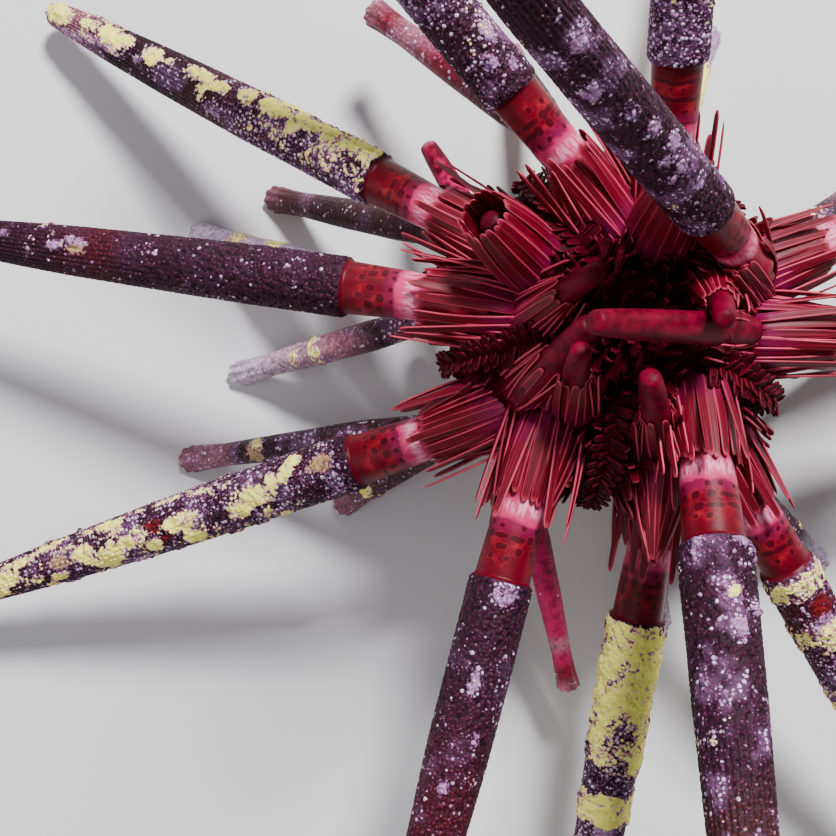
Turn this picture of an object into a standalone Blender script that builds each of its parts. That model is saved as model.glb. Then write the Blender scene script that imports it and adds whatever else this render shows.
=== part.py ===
"""Pencil urchin at life size, seen in the photo from straight above.

The round test is cut into five interambulacra, five ambulacra, the apical disc and the
peristome, and the tips of the teeth show in the mouth. Each interambulacrum carries two
columns of primary spines, and the lowest ones stand on the floor at z = 0.
"""

import math
import random

import bmesh
import bpy
from mathutils import Vector

MM = 0.001
GAP = 0.3 * MM

# Test: a flattened ball, with its axis set so that the whole part's box is centred
TEST_RADIUS = 15.0 * MM
TEST_HALF_HEIGHT = 9.5 * MM
AXIS_X = 1.6 * MM
AXIS_Y = 5.2 * MM
TEST_CENTRE = Vector((AXIS_X, AXIS_Y, 22.0 * MM))
APEX_POLAR = 24.0
MOUTH_POLAR = 156.0
APICAL_DEPTH = 2.4 * MM
PERISTOME_DEPTH = 2.2 * MM
CORE_RADIUS = 3.0 * MM
POLAR_STEPS = 10
WIDE_STEPS = 4
NARROW_STEPS = 2
ROUND_SIDES = 15

# Sectors: direction of each interambulacrum's middle and of its two columns of spines
SECTOR_AZIMUTHS = (84.0, 158.0, 224.0, 300.0, 12.0)
COLUMN_AZIMUTHS = {"A": (71.0, 145.0, 213.0, 287.0, 358.0), "B": (99.0, 171.0, 233.0, 311.0, 23.0)}
AMBULACRUM_WIDTH = 15.0

# Primary spines from the apex down: polar angle of the root, heading, rise, length and
# thickness, in degrees and millimetres. With a rise of None the tip stands on the floor,
# and the length is then how far out the tip reaches, measured level from the root.
SPINES = {
    (1, "A"): [(33, 75, 62, 6, 2.4), (50, 93, 34, 50, 4.6), (88, 80, -20, 34, 3.4),
               (114, 66, None, 22, 3.0), (140, 66, -62, 12, 2.4)],
    (1, "B"): [(45, 133, 14, 52, 4.7), (80, 137, -29, 31, 3.2), (108, 108, None, 18, 3.0),
               (134, 100, -58, 12, 2.4)],
    (2, "A"): [(43, 146, 50, 7, 2.6), (71, 149, -23.5, 57, 4.8), (99, 161, None, 22, 3.2),
               (122, 118, -25, 15, 2.6), (145, 146, -62, 12, 2.4)],
    (2, "B"): [(32, 30, 55, 9, 2.4), (55, 171, -15, 56, 5.1), (84, 160, None, 28, 3.0),
               (110, 193, None, 23.6, 3.0), (134, 170, -58, 12, 2.4)],
    (3, "A"): [(42, 50, 52, 11, 2.8), (74, 199, -18, 60, 5.0), (99, 188, None, 30, 3.0),
               (122, 214, None, 18, 3.0), (145, 216, -62, 12, 2.4)],
    (3, "B"): [(33, 90, 62, 9, 2.4), (55, 255, 6, 52, 5.2), (84, 263, None, 28.5, 3.2),
               (112, 284, -24, 27, 2.6), (136, 242, -58, 12, 2.4)],
    (4, "A"): [(42, 115, 55, 10, 2.6), (68, 258, 14, 7, 3.0), (97, 262, -10, 50, 5.0),
               (122, 284, None, 18, 3.0), (145, 288, -62, 12, 2.4)],
    (4, "B"): [(40, 269, 28, 50, 5.6), (80, 302, -16, 48, 4.9), (108, 322, None, 20, 3.0),
               (134, 314, -58, 12, 2.4)],
    (5, "A"): [(43, 181, 42, 20, 2.9), (64, 0, -6, 50, 5.0), (93, 350, -26, 33, 3.2),
               (118, 2, None, 18, 3.0), (142, 0, -62, 12, 2.4)],
    (5, "B"): [(33, 250, 66, 9, 2.4), (57, 150, 52, 60, 4.7), (90, 20, -4, 50, 4.8),
               (114, 34, None, 20, 3.0), (137, 26, -58, 12, 2.4)],
}
LARGE_LENGTH = 45.0 * MM
YOUNG_LENGTH = 21.0 * MM
SINK = 1.6 * MM
SINK_FACTOR = 0.75
FLOOR_OVERRUN = 1.0 * MM

# Profile of a full-grown spine as distance from the root in millimetres, or as share of
# the length further out, each with a factor of the shaft's radius. The others are all shares.
BASE_PROFILE = ((2.2, 0.95), (3.2, 0.78), (7.0, 0.86), (12.0, 0.92), (12.4, 1.03))
SHAFT_PROFILE = ((0.50, 0.98), (0.84, 0.72), (1.0, 0.42))
SMALL_PROFILE = ((0.05, 1.0), (0.10, 0.82), (0.35, 1.0), (0.84, 0.76), (1.0, 0.86))
YOUNG_PROFILE = ((0.12, 1.0), (0.55, 0.82), (0.88, 0.50), (1.0, 0.24))
LARGE_SIDES = 8
SMALL_SIDES = 6

# Buds: young primaries that their flat spines close over, as sector, column and row
BUDS = {(1, "A", 0), (2, "A", 0), (4, "A", 1)}

# Flat spines round each primary: count, ring radius, reach along the primary, width and
# thickness at mid length, with the reach, width and thickness in millimetres
FAN_LARGE = (12, 3.3, 7.4, 1.5, 0.60)
FAN_SMALL = (7, 2.4, 5.4, 1.3, 0.56)
FAN_LOW = (6, 2.3, 4.8, 1.4, 0.56)
FAN_BUD = (9, 2.4, 6.0, 1.4, 0.58)
LOW_POLAR = 105.0
FAN_MARGIN = 1.15 * MM
FAN_RIM_MARGIN = 1.8 * MM
FAN_SINK = 0.9 * MM
FAN_LIFT = 2.0 * MM
FAN_JITTER = 0.15
FAN_REACH_RANGE = (0.86, 1.08)
FOOT_ROOM = 0.6 * MM
NECK_FACTOR = 0.84
TIP_OFF_NECK = 0.75 * MM
TIP_SPLAYS = (1.0, 1.0, 1.3, 1.8)
TIP_WIDTH_FACTOR = 0.62
TIP_THICKNESS_FACTOR = 0.70
STRETCH_STEPS = 12

# Small flat spines in two rows along each ambulacrum
AMBULACRAL_ROWS = 9
AMBULACRAL_FIRST = 38.0
AMBULACRAL_LAST = 146.0
AMBULACRAL_ASIDE = 0.24
AMBULACRAL_LENGTH = 4.6 * MM
AMBULACRAL_WIDTH = 1.3 * MM
AMBULACRAL_THICKNESS = 0.56 * MM
AMBULACRAL_LEAN = 0.35

# Apex: crown of the disc as shares of its radius, then rings of blunt spines, each with its
# distance from the axis, count and length, and how far a ring is turned per millimetre out
APICAL_CROWN = (0.72, 0.42, 0.14)
APICAL_RINGS = ((1.6, 5, 1.6), (3.1, 7, 1.6), (4.6, 10, 1.4))
APICAL_TURN = 12.0
APICAL_RISE = 72.0
APICAL_WIDTH = 0.9 * MM
APICAL_THICKNESS = 0.72 * MM

# Mouth: steps of the skin as share of its radius, outer and inner depth in millimetres,
# then the teeth, whose stations are share of the length and radius
SKIN_STEPS = ((0.80, 0.5, 0.1), (0.62, 0.6, 0.2))
SKIN_LOWEST = 0.7 * MM
TEETH_COUNT = 5
TEETH_RADIUS = 2.3 * MM
TEETH_TOP_Z = 18.5 * MM
TEETH_TIP_Z = 11.4 * MM
TEETH_INSET = 0.6 * MM
TOOTH_SINK = 0.8 * MM
TOOTH_FOOT_RADIUS = 1.35 * MM
TOOTH_TIP_RADIUS = 0.45 * MM
TOOTH_PROFILE = ((0.0, 0.75 * MM), (0.6, 0.55 * MM), (1.0, 0.25 * MM))
TOOTH_SIDES = 5
LANTERN_SIDES = 10

COLOURS = {
    "apical_disc": (0.26, 0.03, 0.06),
    "interambulacrum": (0.30, 0.04, 0.07),
    "ambulacrum": (0.34, 0.05, 0.08),
    "peristome": (0.36, 0.12, 0.12),
    "lantern_teeth": (0.80, 0.76, 0.66),
}


def clear_scene():
    """Remove every object that the file opens with."""
    for thing in list(bpy.data.objects):
        bpy.data.objects.remove(thing, do_unlink=True)


def make_material(name, colour):
    """Matt, slightly waxy finish in one colour."""
    material = bpy.data.materials.new(name)
    material.use_nodes = True
    shader = material.node_tree.nodes["Principled BSDF"]
    shader.inputs["Base Color"].default_value = (*colour, 1.0)
    shader.inputs["Roughness"].default_value = 0.55
    shader.inputs["Metallic"].default_value = 0.0
    return material


def level(azimuth):
    """Unit vector along a compass direction, in degrees from +X towards +Y."""
    angle = math.radians(azimuth)
    return Vector((math.cos(angle), math.sin(angle), 0.0))


def direction(heading, rise):
    """Unit vector with a heading and a rise above level, both in degrees."""
    slope = math.radians(rise)
    return level(heading) * math.cos(slope) + Vector((0.0, 0.0, math.sin(slope)))


def on_test(azimuth, polar):
    """Point on the test's surface, with polar counted from the apex down."""
    angle = math.radians(polar)
    out = level(azimuth) * TEST_RADIUS * math.sin(angle)
    return TEST_CENTRE + out + Vector((0.0, 0.0, TEST_HALF_HEIGHT * math.cos(angle)))


def surface_height(radius, side):
    """Height of the test's surface at a distance from its axis, side +1 above or -1 below."""
    share = math.sqrt(max(0.0, 1.0 - (radius / TEST_RADIUS) ** 2))
    return TEST_CENTRE.z + side * TEST_HALF_HEIGHT * share


def mesh_object(name, points, faces):
    """Closed mesh object with its faces turned outwards."""
    mesh = bpy.data.meshes.new(name)
    mesh.from_pydata([tuple(point) for point in points], [], faces)
    shape = bmesh.new()
    shape.from_mesh(mesh)
    bmesh.ops.recalc_face_normals(shape, faces=shape.faces)
    bmesh.ops.triangulate(shape, faces=shape.faces)
    shape.to_mesh(mesh)
    shape.free()
    thing = bpy.data.objects.new(name, mesh)
    bpy.context.scene.collection.objects.link(thing)
    return thing


def tube(name, rings):
    """Closed solid through rings of equally many points, capped at both ends."""
    count = len(rings[0])
    points = [point for ring in rings for point in ring]
    faces = []
    for first in range(0, len(points) - count, count):
        for i in range(count):
            j = (i + 1) % count
            faces.append((first + i, first + j, first + count + j, first + count + i))
    faces.append(tuple(range(count - 1, -1, -1)))
    faces.append(tuple(range(len(points) - count, len(points))))
    return mesh_object(name, points, faces)


def ring_at(centre, axis, radius, sides):
    """Points of a regular polygon square to an axis."""
    across = axis.orthogonal().normalized()
    beside = axis.cross(across)
    turns = [2.0 * math.pi * i / sides for i in range(sides)]
    return [centre + (across * math.cos(turn) + beside * math.sin(turn)) * radius for turn in turns]


def cut_at_floor(thing):
    """Cut away what reaches below the floor and close the cut with a flat."""
    shape = bmesh.new()
    shape.from_mesh(thing.data)
    everything = list(shape.verts) + list(shape.edges) + list(shape.faces)
    bmesh.ops.bisect_plane(shape, geom=everything, plane_co=(0.0, 0.0, 0.0),
                           plane_no=(0.0, 0.0, 1.0), clear_inner=True)
    rim = [edge for edge in shape.edges if edge.is_boundary]
    bmesh.ops.holes_fill(shape, edges=rim, sides=0)
    bmesh.ops.triangulate(shape, faces=shape.faces)
    shape.to_mesh(thing.data)
    shape.free()


def largest_surface(mesh):
    """Delete all but the closed surface that has the most faces."""
    shape = bmesh.new()
    shape.from_mesh(mesh)
    left = set(shape.faces)
    surfaces = []
    while left:
        seed = left.pop()
        surface = {seed}
        stack = [seed]
        while stack:
            for edge in stack.pop().edges:
                for face in edge.link_faces:
                    if face in left:
                        left.remove(face)
                        surface.add(face)
                        stack.append(face)
        surfaces.append(surface)
    surfaces.sort(key=len)
    scraps = [face for surface in surfaces[:-1] for face in surface]
    bmesh.ops.delete(shape, geom=scraps, context="FACES")
    bmesh.ops.triangulate(shape, faces=shape.faces)
    shape.to_mesh(mesh)
    shape.free()


def fuse(body, pieces, colour):
    """Join pieces to a body as one closed solid with its own material."""
    name = body.name
    if pieces:
        group = bpy.data.collections.new(name + "_pieces")
        bpy.context.scene.collection.children.link(group)
        for piece in pieces:
            bpy.context.scene.collection.objects.unlink(piece)
            group.objects.link(piece)
        union = body.modifiers.new("Union", "BOOLEAN")
        union.operation = "UNION"
        union.operand_type = "COLLECTION"
        union.collection = group
        union.solver = "EXACT"
        view = bpy.context.evaluated_depsgraph_get()
        joined = bpy.data.meshes.new_from_object(body.evaluated_get(view))
        body.modifiers.clear()
        body.data = joined
        for piece in pieces:
            bpy.data.objects.remove(piece, do_unlink=True)
        bpy.data.collections.remove(group)
        largest_surface(joined)
    body.data.name = name
    body.data.materials.clear()
    body.data.materials.append(make_material(name, colour))


def test_sector(name, low_azimuth, high_azimuth, steps):
    """Slice of the test between two upright planes, each set back by half a gap."""
    apex = TEST_RADIUS * math.sin(math.radians(APEX_POLAR))
    mouth = TEST_RADIUS * math.sin(math.radians(MOUTH_POLAR))
    outline = []
    for i in range(POLAR_STEPS + 1):
        polar = math.radians(APEX_POLAR + (MOUTH_POLAR - APEX_POLAR) * i / POLAR_STEPS)
        outline.append((TEST_RADIUS * math.sin(polar),
                        TEST_CENTRE.z + TEST_HALF_HEIGHT * math.cos(polar)))
    shelf_low = surface_height(mouth, -1) + PERISTOME_DEPTH
    shelf_high = surface_height(apex, 1) - APICAL_DEPTH
    outline += [(mouth, shelf_low), (CORE_RADIUS, shelf_low), (CORE_RADIUS, shelf_high),
                (apex, shelf_high)]
    rings = []
    for step in range(steps + 1):
        share = step / steps
        ring = []
        for radius, height in outline:
            trim = math.degrees(math.asin(0.5 * GAP / radius))
            low = low_azimuth + trim
            azimuth = low + (high_azimuth - trim - low) * share
            ring.append(Vector((AXIS_X, AXIS_Y, height)) + level(azimuth) * radius)
        rings.append(ring)
    return tube(name, rings)


def onto_test(point):
    """Point of the test's surface that lies towards a point from the test's centre."""
    offset = point - TEST_CENTRE
    share = math.hypot(math.hypot(offset.x, offset.y) / TEST_RADIUS, offset.z / TEST_HALF_HEIGHT)
    return TEST_CENTRE + offset / share


def normal_at(point):
    """Outward normal of the test near a point."""
    offset = point - TEST_CENTRE
    wide = TEST_RADIUS ** 2
    tall = TEST_HALF_HEIGHT ** 2
    return Vector((offset.x / wide, offset.y / wide, offset.z / tall)).normalized()


def keep_in_sector(point, sector):
    """Surface point moved, where needed, to stay clear of the sector's cut sides."""
    low, high = sector_limits(sector)
    offset = point - TEST_CENTRE
    radius = math.hypot(offset.x, offset.y)
    margin = math.degrees(math.asin(min(0.9, FAN_MARGIN / radius)))
    middle = 0.5 * (low + high)
    turn = (math.degrees(math.atan2(offset.y, offset.x)) - middle + 180.0) % 360.0 - 180.0
    limit = 0.5 * (high - low) - margin
    azimuth = middle + max(-limit, min(limit, turn))
    polar = math.degrees(math.acos(max(-1.0, min(1.0, offset.z / TEST_HALF_HEIGHT))))
    edge = math.degrees(FAN_RIM_MARGIN / TEST_RADIUS)
    return on_test(azimuth, max(APEX_POLAR + edge, min(MOUTH_POLAR - edge, polar)))


def over_own_sector(sector, foot, tip, radius):
    """Whether a flat spine keeps clear of the test beside its own sector."""
    low, high = sector_limits(sector)
    middle = 0.5 * (low + high)
    rim = TEST_RADIUS * math.sin(math.radians(APEX_POLAR))
    for step in range(1, STRETCH_STEPS + 1):
        point = foot.lerp(tip, step / STRETCH_STEPS)
        offset = point - TEST_CENTRE
        out = math.hypot(offset.x, offset.y)
        turn = (math.degrees(math.atan2(offset.y, offset.x)) - middle + 180.0) % 360.0 - 180.0
        aside = out * math.sin(math.radians(min(90.0, 0.5 * (high - low) - abs(turn))))
        height = (point - onto_test(point)).dot(normal_at(point))
        if min(aside, out - rim) < radius and height < radius + GAP:
            return False
    return True


def gap_between(start, end, other_start, other_end):
    """Shortest distance between two straight stretches."""
    along = end - start
    other = other_end - other_start
    between = start - other_start
    a = along.dot(along)
    b = along.dot(other)
    c = other.dot(other)
    d = along.dot(between)
    e = other.dot(between)
    spread = a * c - b * b
    share = 0.0 if spread < 1e-18 else max(0.0, min(1.0, (b * e - c * d) / spread))
    other_share = max(0.0, min(1.0, (b * share + e) / c))
    share = max(0.0, min(1.0, (b * other_share - d) / a))
    return (between + along * share - other * other_share).length


def claim(taken, node, start, end, radius):
    """Note a piece's place, if it is clear of the pieces of every other node."""
    for other, other_start, other_end, other_radius in taken:
        room = radius + other_radius + GAP
        if other != node and gap_between(start, end, other_start, other_end) < room:
            return False
    taken.append((node, start, end, radius))
    return True


def blade(name, foot, tip, facing, width, thickness):
    """Flat spine from a foot on the test to a tip, its broad side turned to facing."""
    axis = (tip - foot).normalized()
    side = axis.cross(facing).normalized()
    face = side.cross(axis)
    stations = [(foot - normal_at(foot) * FAN_SINK, 1.0, 1.0),
                (tip, TIP_WIDTH_FACTOR, TIP_THICKNESS_FACTOR)]
    rings = []
    for centre, wide, thick in stations:
        along = side * 0.5 * width * wide
        deep = face * 0.5 * thickness * thick
        rings.append([centre - along - deep, centre + along - deep, centre + along + deep,
                      centre - along + deep])
    return tube(name, rings)


def fan(taken, sector, line, sizes, chance):
    """Ring of flat spines that lean in to the neck of one primary spine."""
    root, heading, _, radius, _ = line
    others = [spine_line(sector, column, row) for column in "AB"
              for row in range(len(SPINES[(sector, column)]))]
    others = [other for other in others if (other[0] - root).length > MM]
    count, ring_radius, reach, width, thickness = sizes
    half_diagonal = 0.5 * math.hypot(width, thickness) * MM
    normal = normal_at(root)
    across = normal.orthogonal().normalized()
    beside = normal.cross(across)
    start = chance.uniform(0.0, 360.0)
    blades = []
    for i in range(count):
        turn = math.radians(start + 360.0 * (i + chance.uniform(-FAN_JITTER, FAN_JITTER)) / count)
        out = across * math.cos(turn) + beside * math.sin(turn)
        foot = keep_in_sector(onto_test(root + out * ring_radius * MM), sector)
        if any((foot - other[0]).length < other[3] + FOOT_ROOM for other in others):
            continue
        away = (foot - root) - heading * (foot - root).dot(heading)
        neck = root + heading * reach * chance.uniform(*FAN_REACH_RANGE) * MM
        splay = TIP_OFF_NECK * chance.choice(TIP_SPLAYS)
        tip = neck + away.normalized() * (NECK_FACTOR * radius + splay)
        low = (tip - onto_test(tip)).dot(normal_at(tip))
        if low < FAN_LIFT:
            tip += normal_at(tip) * (FAN_LIFT - low)
        if not over_own_sector(sector, foot, tip, half_diagonal):
            continue
        if claim(taken, f"interambulacrum_{sector}", foot, tip, half_diagonal):
            blades.append(blade("flat_spine", foot, tip, neck - tip, width * MM, thickness * MM))
    return blades


def spine_root(sector, column, row):
    """Where a primary spine leaves the test."""
    return on_test(COLUMN_AZIMUTHS[column][sector - 1], SPINES[(sector, column)][row][0])


def spine_line(sector, column, row):
    """Root, direction, length and radius of a primary spine, and whether it stands."""
    heading, rise, reach, thickness = SPINES[(sector, column)][row][1:]
    root = spine_root(sector, column, row)
    length = reach * MM
    stands = rise is None
    if stands:
        rise = -math.degrees(math.atan2(root.z, length))
        length = math.hypot(root.z, length) + FLOOR_OVERRUN
    return root, direction(heading, rise), length, 0.5 * thickness * MM, stands


def primary_spine(name, root, heading, length, radius, stands):
    """One primary spine: base, collar and shaft, or the plainer forms of the small ones."""
    if length >= LARGE_LENGTH:
        stations = [(at * MM, factor) for at, factor in BASE_PROFILE]
        stations += [(share * length, factor) for share, factor in SHAFT_PROFILE]
        sides = LARGE_SIDES
    elif length >= YOUNG_LENGTH:
        stations = [(share * length, factor) for share, factor in SMALL_PROFILE]
        sides = SMALL_SIDES
    else:
        stations = [(share * length, factor) for share, factor in YOUNG_PROFILE]
        sides = SMALL_SIDES
    stations.insert(0, (-SINK, SINK_FACTOR))
    rings = [ring_at(root + heading * at, heading, radius * factor, sides)
             for at, factor in stations]
    spine = tube(name, rings)
    if stands or (root + heading * length).z < radius:
        cut_at_floor(spine)
    return spine


def fan_sizes(sector, column, row, length):
    """Which ring of flat spines a primary has."""
    if (sector, column, row) in BUDS:
        return FAN_BUD
    if length >= LARGE_LENGTH:
        return FAN_LARGE
    return FAN_LOW if SPINES[(sector, column)][row][0] > LOW_POLAR else FAN_SMALL


def make_interambulacrum(taken, sector):
    """Wide sector with its two columns of primary spines and the fans round them."""
    chance = random.Random(sector)
    low, high = sector_limits(sector)
    body = test_sector(f"interambulacrum_{sector}", low, high, WIDE_STEPS)
    pieces = []
    for column in "AB":
        for row in range(len(SPINES[(sector, column)])):
            line = spine_line(sector, column, row)
            pieces.append(primary_spine(f"spine_{column}{row}", *line))
            pieces += fan(taken, sector, line, fan_sizes(sector, column, row, line[2]), chance)
    fuse(body, pieces, COLOURS["interambulacrum"])


def sector_limits(sector):
    """Azimuths between which an interambulacrum lies."""
    middle = SECTOR_AZIMUTHS[sector - 1]
    after = SECTOR_AZIMUTHS[sector % len(SECTOR_AZIMUTHS)]
    before = SECTOR_AZIMUTHS[sector - 2]
    to_next = ((after - middle) % 360.0 - AMBULACRUM_WIDTH) / 2.0
    to_last = ((middle - before) % 360.0 - AMBULACRUM_WIDTH) / 2.0
    return middle - to_last, middle + to_next


def make_ambulacrum(taken, sector):
    """Narrow sector that follows an interambulacrum."""
    low = sector_limits(sector)[1]
    middle = low + 0.5 * AMBULACRUM_WIDTH
    body = test_sector(f"ambulacrum_{sector}", low, low + AMBULACRUM_WIDTH, NARROW_STEPS)
    half_diagonal = 0.5 * math.hypot(AMBULACRAL_WIDTH, AMBULACRAL_THICKNESS)
    pieces = []
    step = (AMBULACRAL_LAST - AMBULACRAL_FIRST) / (2 * AMBULACRAL_ROWS - 1)
    for i in range(2 * AMBULACRAL_ROWS):
        side = 1 if i % 2 else -1
        azimuth = middle + side * AMBULACRAL_ASIDE * AMBULACRUM_WIDTH
        foot = on_test(azimuth, AMBULACRAL_FIRST + step * i)
        inward = level(middle - side * 90.0)
        lean = (normal_at(foot) + inward * AMBULACRAL_LEAN).normalized()
        tip = foot + lean * AMBULACRAL_LENGTH
        if claim(taken, body.name, foot, tip, half_diagonal):
            pieces.append(blade("ambulacral_spine", foot, tip, inward, AMBULACRAL_WIDTH,
                                AMBULACRAL_THICKNESS))
    fuse(body, pieces, COLOURS["ambulacrum"])


def lathe(name, outline, sides):
    """Solid of revolution about the test's axis, from radius and height pairs."""
    upright = Vector((0.0, 0.0, 1.0))
    rings = [ring_at(Vector((AXIS_X, AXIS_Y, height)), upright, radius, sides)
             for radius, height in outline]
    return tube(name, rings)


def make_apical_disc(taken):
    """Round plug of plates at the apex, with short flat spines."""
    rim = TEST_RADIUS * math.sin(math.radians(APEX_POLAR)) - GAP
    low = surface_height(rim, 1) - APICAL_DEPTH + GAP
    outline = [(rim, low), (rim, surface_height(rim, 1))]
    outline += [(rim * share, surface_height(rim * share, 1)) for share in APICAL_CROWN]
    body = lathe("apical_disc", outline, ROUND_SIDES)
    half_diagonal = 0.5 * math.hypot(APICAL_WIDTH, APICAL_THICKNESS)
    pieces = []
    for distance, count, length in APICAL_RINGS:
        for i in range(count):
            azimuth = 360.0 * i / count + APICAL_TURN * distance
            foot = Vector((AXIS_X, AXIS_Y, surface_height(distance * MM, 1)))
            foot += level(azimuth) * distance * MM
            tip = foot + direction(azimuth, APICAL_RISE) * length * MM
            if claim(taken, body.name, foot, tip, half_diagonal):
                pieces.append(blade("apical_spine", foot, tip, level(azimuth), APICAL_WIDTH,
                                    APICAL_THICKNESS))
    fuse(body, pieces, COLOURS["apical_disc"])


def make_peristome():
    """Skin round the mouth: a ring of overlapping plates in steps."""
    rim = TEST_RADIUS * math.sin(math.radians(MOUTH_POLAR)) - GAP
    top = surface_height(rim, -1) + PERISTOME_DEPTH - GAP
    low = surface_height(rim, -1)
    inner = TEETH_RADIUS + GAP
    profile = [(rim, top), (rim, low)]
    for share, outer_depth, inner_depth in SKIN_STEPS:
        profile.append((share * rim, low - outer_depth * MM))
        profile.append((share * rim, low - inner_depth * MM))
    profile += [(inner, low - SKIN_LOWEST), (inner, top)]
    points = []
    for i in range(ROUND_SIDES):
        for radius, height in profile:
            points.append(Vector((AXIS_X, AXIS_Y, height)) + level(360.0 * i / ROUND_SIDES) * radius)
    count = len(profile)
    faces = []
    for i in range(ROUND_SIDES):
        here = i * count
        there = ((i + 1) % ROUND_SIDES) * count
        for j in range(count):
            k = (j + 1) % count
            faces.append((here + j, here + k, there + k, there + j))
    body = mesh_object("peristome", points, faces)
    fuse(body, [], COLOURS["peristome"])


def make_teeth():
    """Five teeth that meet in the mouth, on the lower end of the lantern."""
    low = surface_height(TEETH_RADIUS, -1) + TEETH_INSET
    outline = [(TEETH_RADIUS, low), (TEETH_RADIUS, TEETH_TOP_Z)]
    body = lathe("lantern_teeth", outline, LANTERN_SIDES)
    pieces = []
    for i in range(TEETH_COUNT):
        out = level(360.0 * (i + 0.5) / TEETH_COUNT)
        foot = Vector((AXIS_X, AXIS_Y, low + TOOTH_SINK)) + out * TOOTH_FOOT_RADIUS
        tip = Vector((AXIS_X, AXIS_Y, TEETH_TIP_Z)) + out * TOOTH_TIP_RADIUS
        axis = (tip - foot).normalized()
        rings = [ring_at(foot.lerp(tip, share), axis, radius, TOOTH_SIDES)
                 for share, radius in TOOTH_PROFILE]
        pieces.append(tube("tooth", rings))
    fuse(body, pieces, COLOURS["lantern_teeth"])


def main():
    """Build every node of the urchin."""
    clear_scene()
    taken = []
    for sector, column in SPINES:
        for row in range(len(SPINES[(sector, column)])):
            root, heading, length, radius, _ = spine_line(sector, column, row)
            taken.append((f"interambulacrum_{sector}", root, root + heading * length, radius))
    sectors = range(1, len(SECTOR_AZIMUTHS) + 1)
    for sector in sectors:
        make_interambulacrum(taken, sector)
    for sector in sectors:
        make_ambulacrum(taken, sector)
    make_apical_disc(taken)
    make_peristome()
    make_teeth()


main()
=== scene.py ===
"""Looks of the pencil urchin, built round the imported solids.

One skin covers the test. On it stand the primary spines, with their collars, grain and
crust, the fans of flat spines round them, the small spines between, and the mouth.
"""

import math
import random
from collections.abc import Sequence
from dataclasses import dataclass

import bpy
import numpy as np
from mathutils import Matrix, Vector


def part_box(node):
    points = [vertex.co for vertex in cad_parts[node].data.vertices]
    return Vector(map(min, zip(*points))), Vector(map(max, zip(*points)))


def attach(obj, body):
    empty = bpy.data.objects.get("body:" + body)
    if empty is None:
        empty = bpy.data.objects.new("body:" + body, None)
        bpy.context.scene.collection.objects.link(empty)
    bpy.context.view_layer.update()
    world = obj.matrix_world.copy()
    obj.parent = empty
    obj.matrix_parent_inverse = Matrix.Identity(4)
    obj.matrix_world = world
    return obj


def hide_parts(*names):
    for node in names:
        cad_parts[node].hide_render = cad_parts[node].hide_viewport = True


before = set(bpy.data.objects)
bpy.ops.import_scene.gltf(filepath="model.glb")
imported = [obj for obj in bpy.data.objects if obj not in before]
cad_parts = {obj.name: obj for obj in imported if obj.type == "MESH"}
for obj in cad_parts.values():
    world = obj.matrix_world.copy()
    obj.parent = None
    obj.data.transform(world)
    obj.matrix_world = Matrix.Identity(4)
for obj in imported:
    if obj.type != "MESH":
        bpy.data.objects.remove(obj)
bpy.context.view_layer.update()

MM = 0.001
TURN = 2 * math.pi

# Test and sectors, as in the solids
TEST_RADIUS = 15 * MM
TEST_HALF_HEIGHT = 9.5 * MM
AXIS_X = 1.6 * MM
AXIS_Y = 5.2 * MM
TEST_CENTRE = Vector((AXIS_X, AXIS_Y, 22 * MM))
APEX_POLAR = 24
MOUTH_POLAR = 156
SECTOR_AZIMUTHS = (84, 158, 224, 300, 12)
COLUMN_AZIMUTHS = {"A": (71, 145, 213, 287, 358), "B": (99, 171, 233, 311, 23)}
AMBULACRUM_WIDTH = 15

# Primary spines by sector and column, from the apex down, as in the solids: polar angle of
# the root, heading, rise, length and thickness, in degrees and millimetres. With a rise of
# None the tip stands on the floor, and the length is how far out it reaches.
SPINES = {
    "1A": [(33, 75, 62, 6, 2.4), (50, 93, 34, 50, 4.6), (88, 80, -20, 34, 3.4),
           (114, 66, None, 22, 3), (140, 66, -62, 12, 2.4)],
    "1B": [(45, 133, 14, 52, 4.7), (80, 137, -29, 31, 3.2), (108, 108, None, 18, 3),
           (134, 100, -58, 12, 2.4)],
    "2A": [(43, 146, 50, 7, 2.6), (71, 149, -23.5, 57, 4.8), (99, 161, None, 22, 3.2),
           (122, 118, -25, 15, 2.6), (145, 146, -62, 12, 2.4)],
    "2B": [(32, 30, 55, 9, 2.4), (55, 171, -15, 56, 5.1), (84, 160, None, 28, 3),
           (110, 193, None, 23.6, 3), (134, 170, -58, 12, 2.4)],
    "3A": [(42, 50, 52, 11, 2.8), (74, 199, -18, 60, 5), (99, 188, None, 30, 3),
           (122, 214, None, 18, 3), (145, 216, -62, 12, 2.4)],
    "3B": [(33, 90, 62, 9, 2.4), (55, 255, 6, 52, 5.2), (84, 263, None, 28.5, 3.2),
           (112, 284, -24, 27, 2.6), (136, 242, -58, 12, 2.4)],
    "4A": [(42, 115, 55, 10, 2.6), (68, 258, 14, 7, 3), (97, 262, -10, 50, 5),
           (122, 284, None, 18, 3), (145, 288, -62, 12, 2.4)],
    "4B": [(40, 269, 28, 50, 5.6), (80, 302, -16, 48, 4.9), (108, 322, None, 20, 3),
           (134, 314, -58, 12, 2.4)],
    "5A": [(43, 181, 42, 20, 2.9), (64, 0, -6, 50, 5), (93, 350, -26, 33, 3.2),
           (118, 2, None, 18, 3), (142, 0, -62, 12, 2.4)],
    "5B": [(33, 250, 66, 9, 2.4), (57, 150, 52, 60, 4.7), (90, 20, -4, 50, 4.8),
           (114, 34, None, 20, 3), (137, 26, -58, 12, 2.4)],
}
CLOSED_FANS = {"4A2"}
OPEN_FANS = {"1A1", "2A1"}
LARGE_LENGTH = 45 * MM
YOUNG_LENGTH = 21 * MM

# Camera: straight above the animal, with the photo's framing
CAMERA_PLACE = (AXIS_X - 17.7 * MM, AXIS_Y - 7.8 * MM, 140 * MM)
CAMERA_LENS = 56.23
CAMERA_SENSOR = 36


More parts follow.
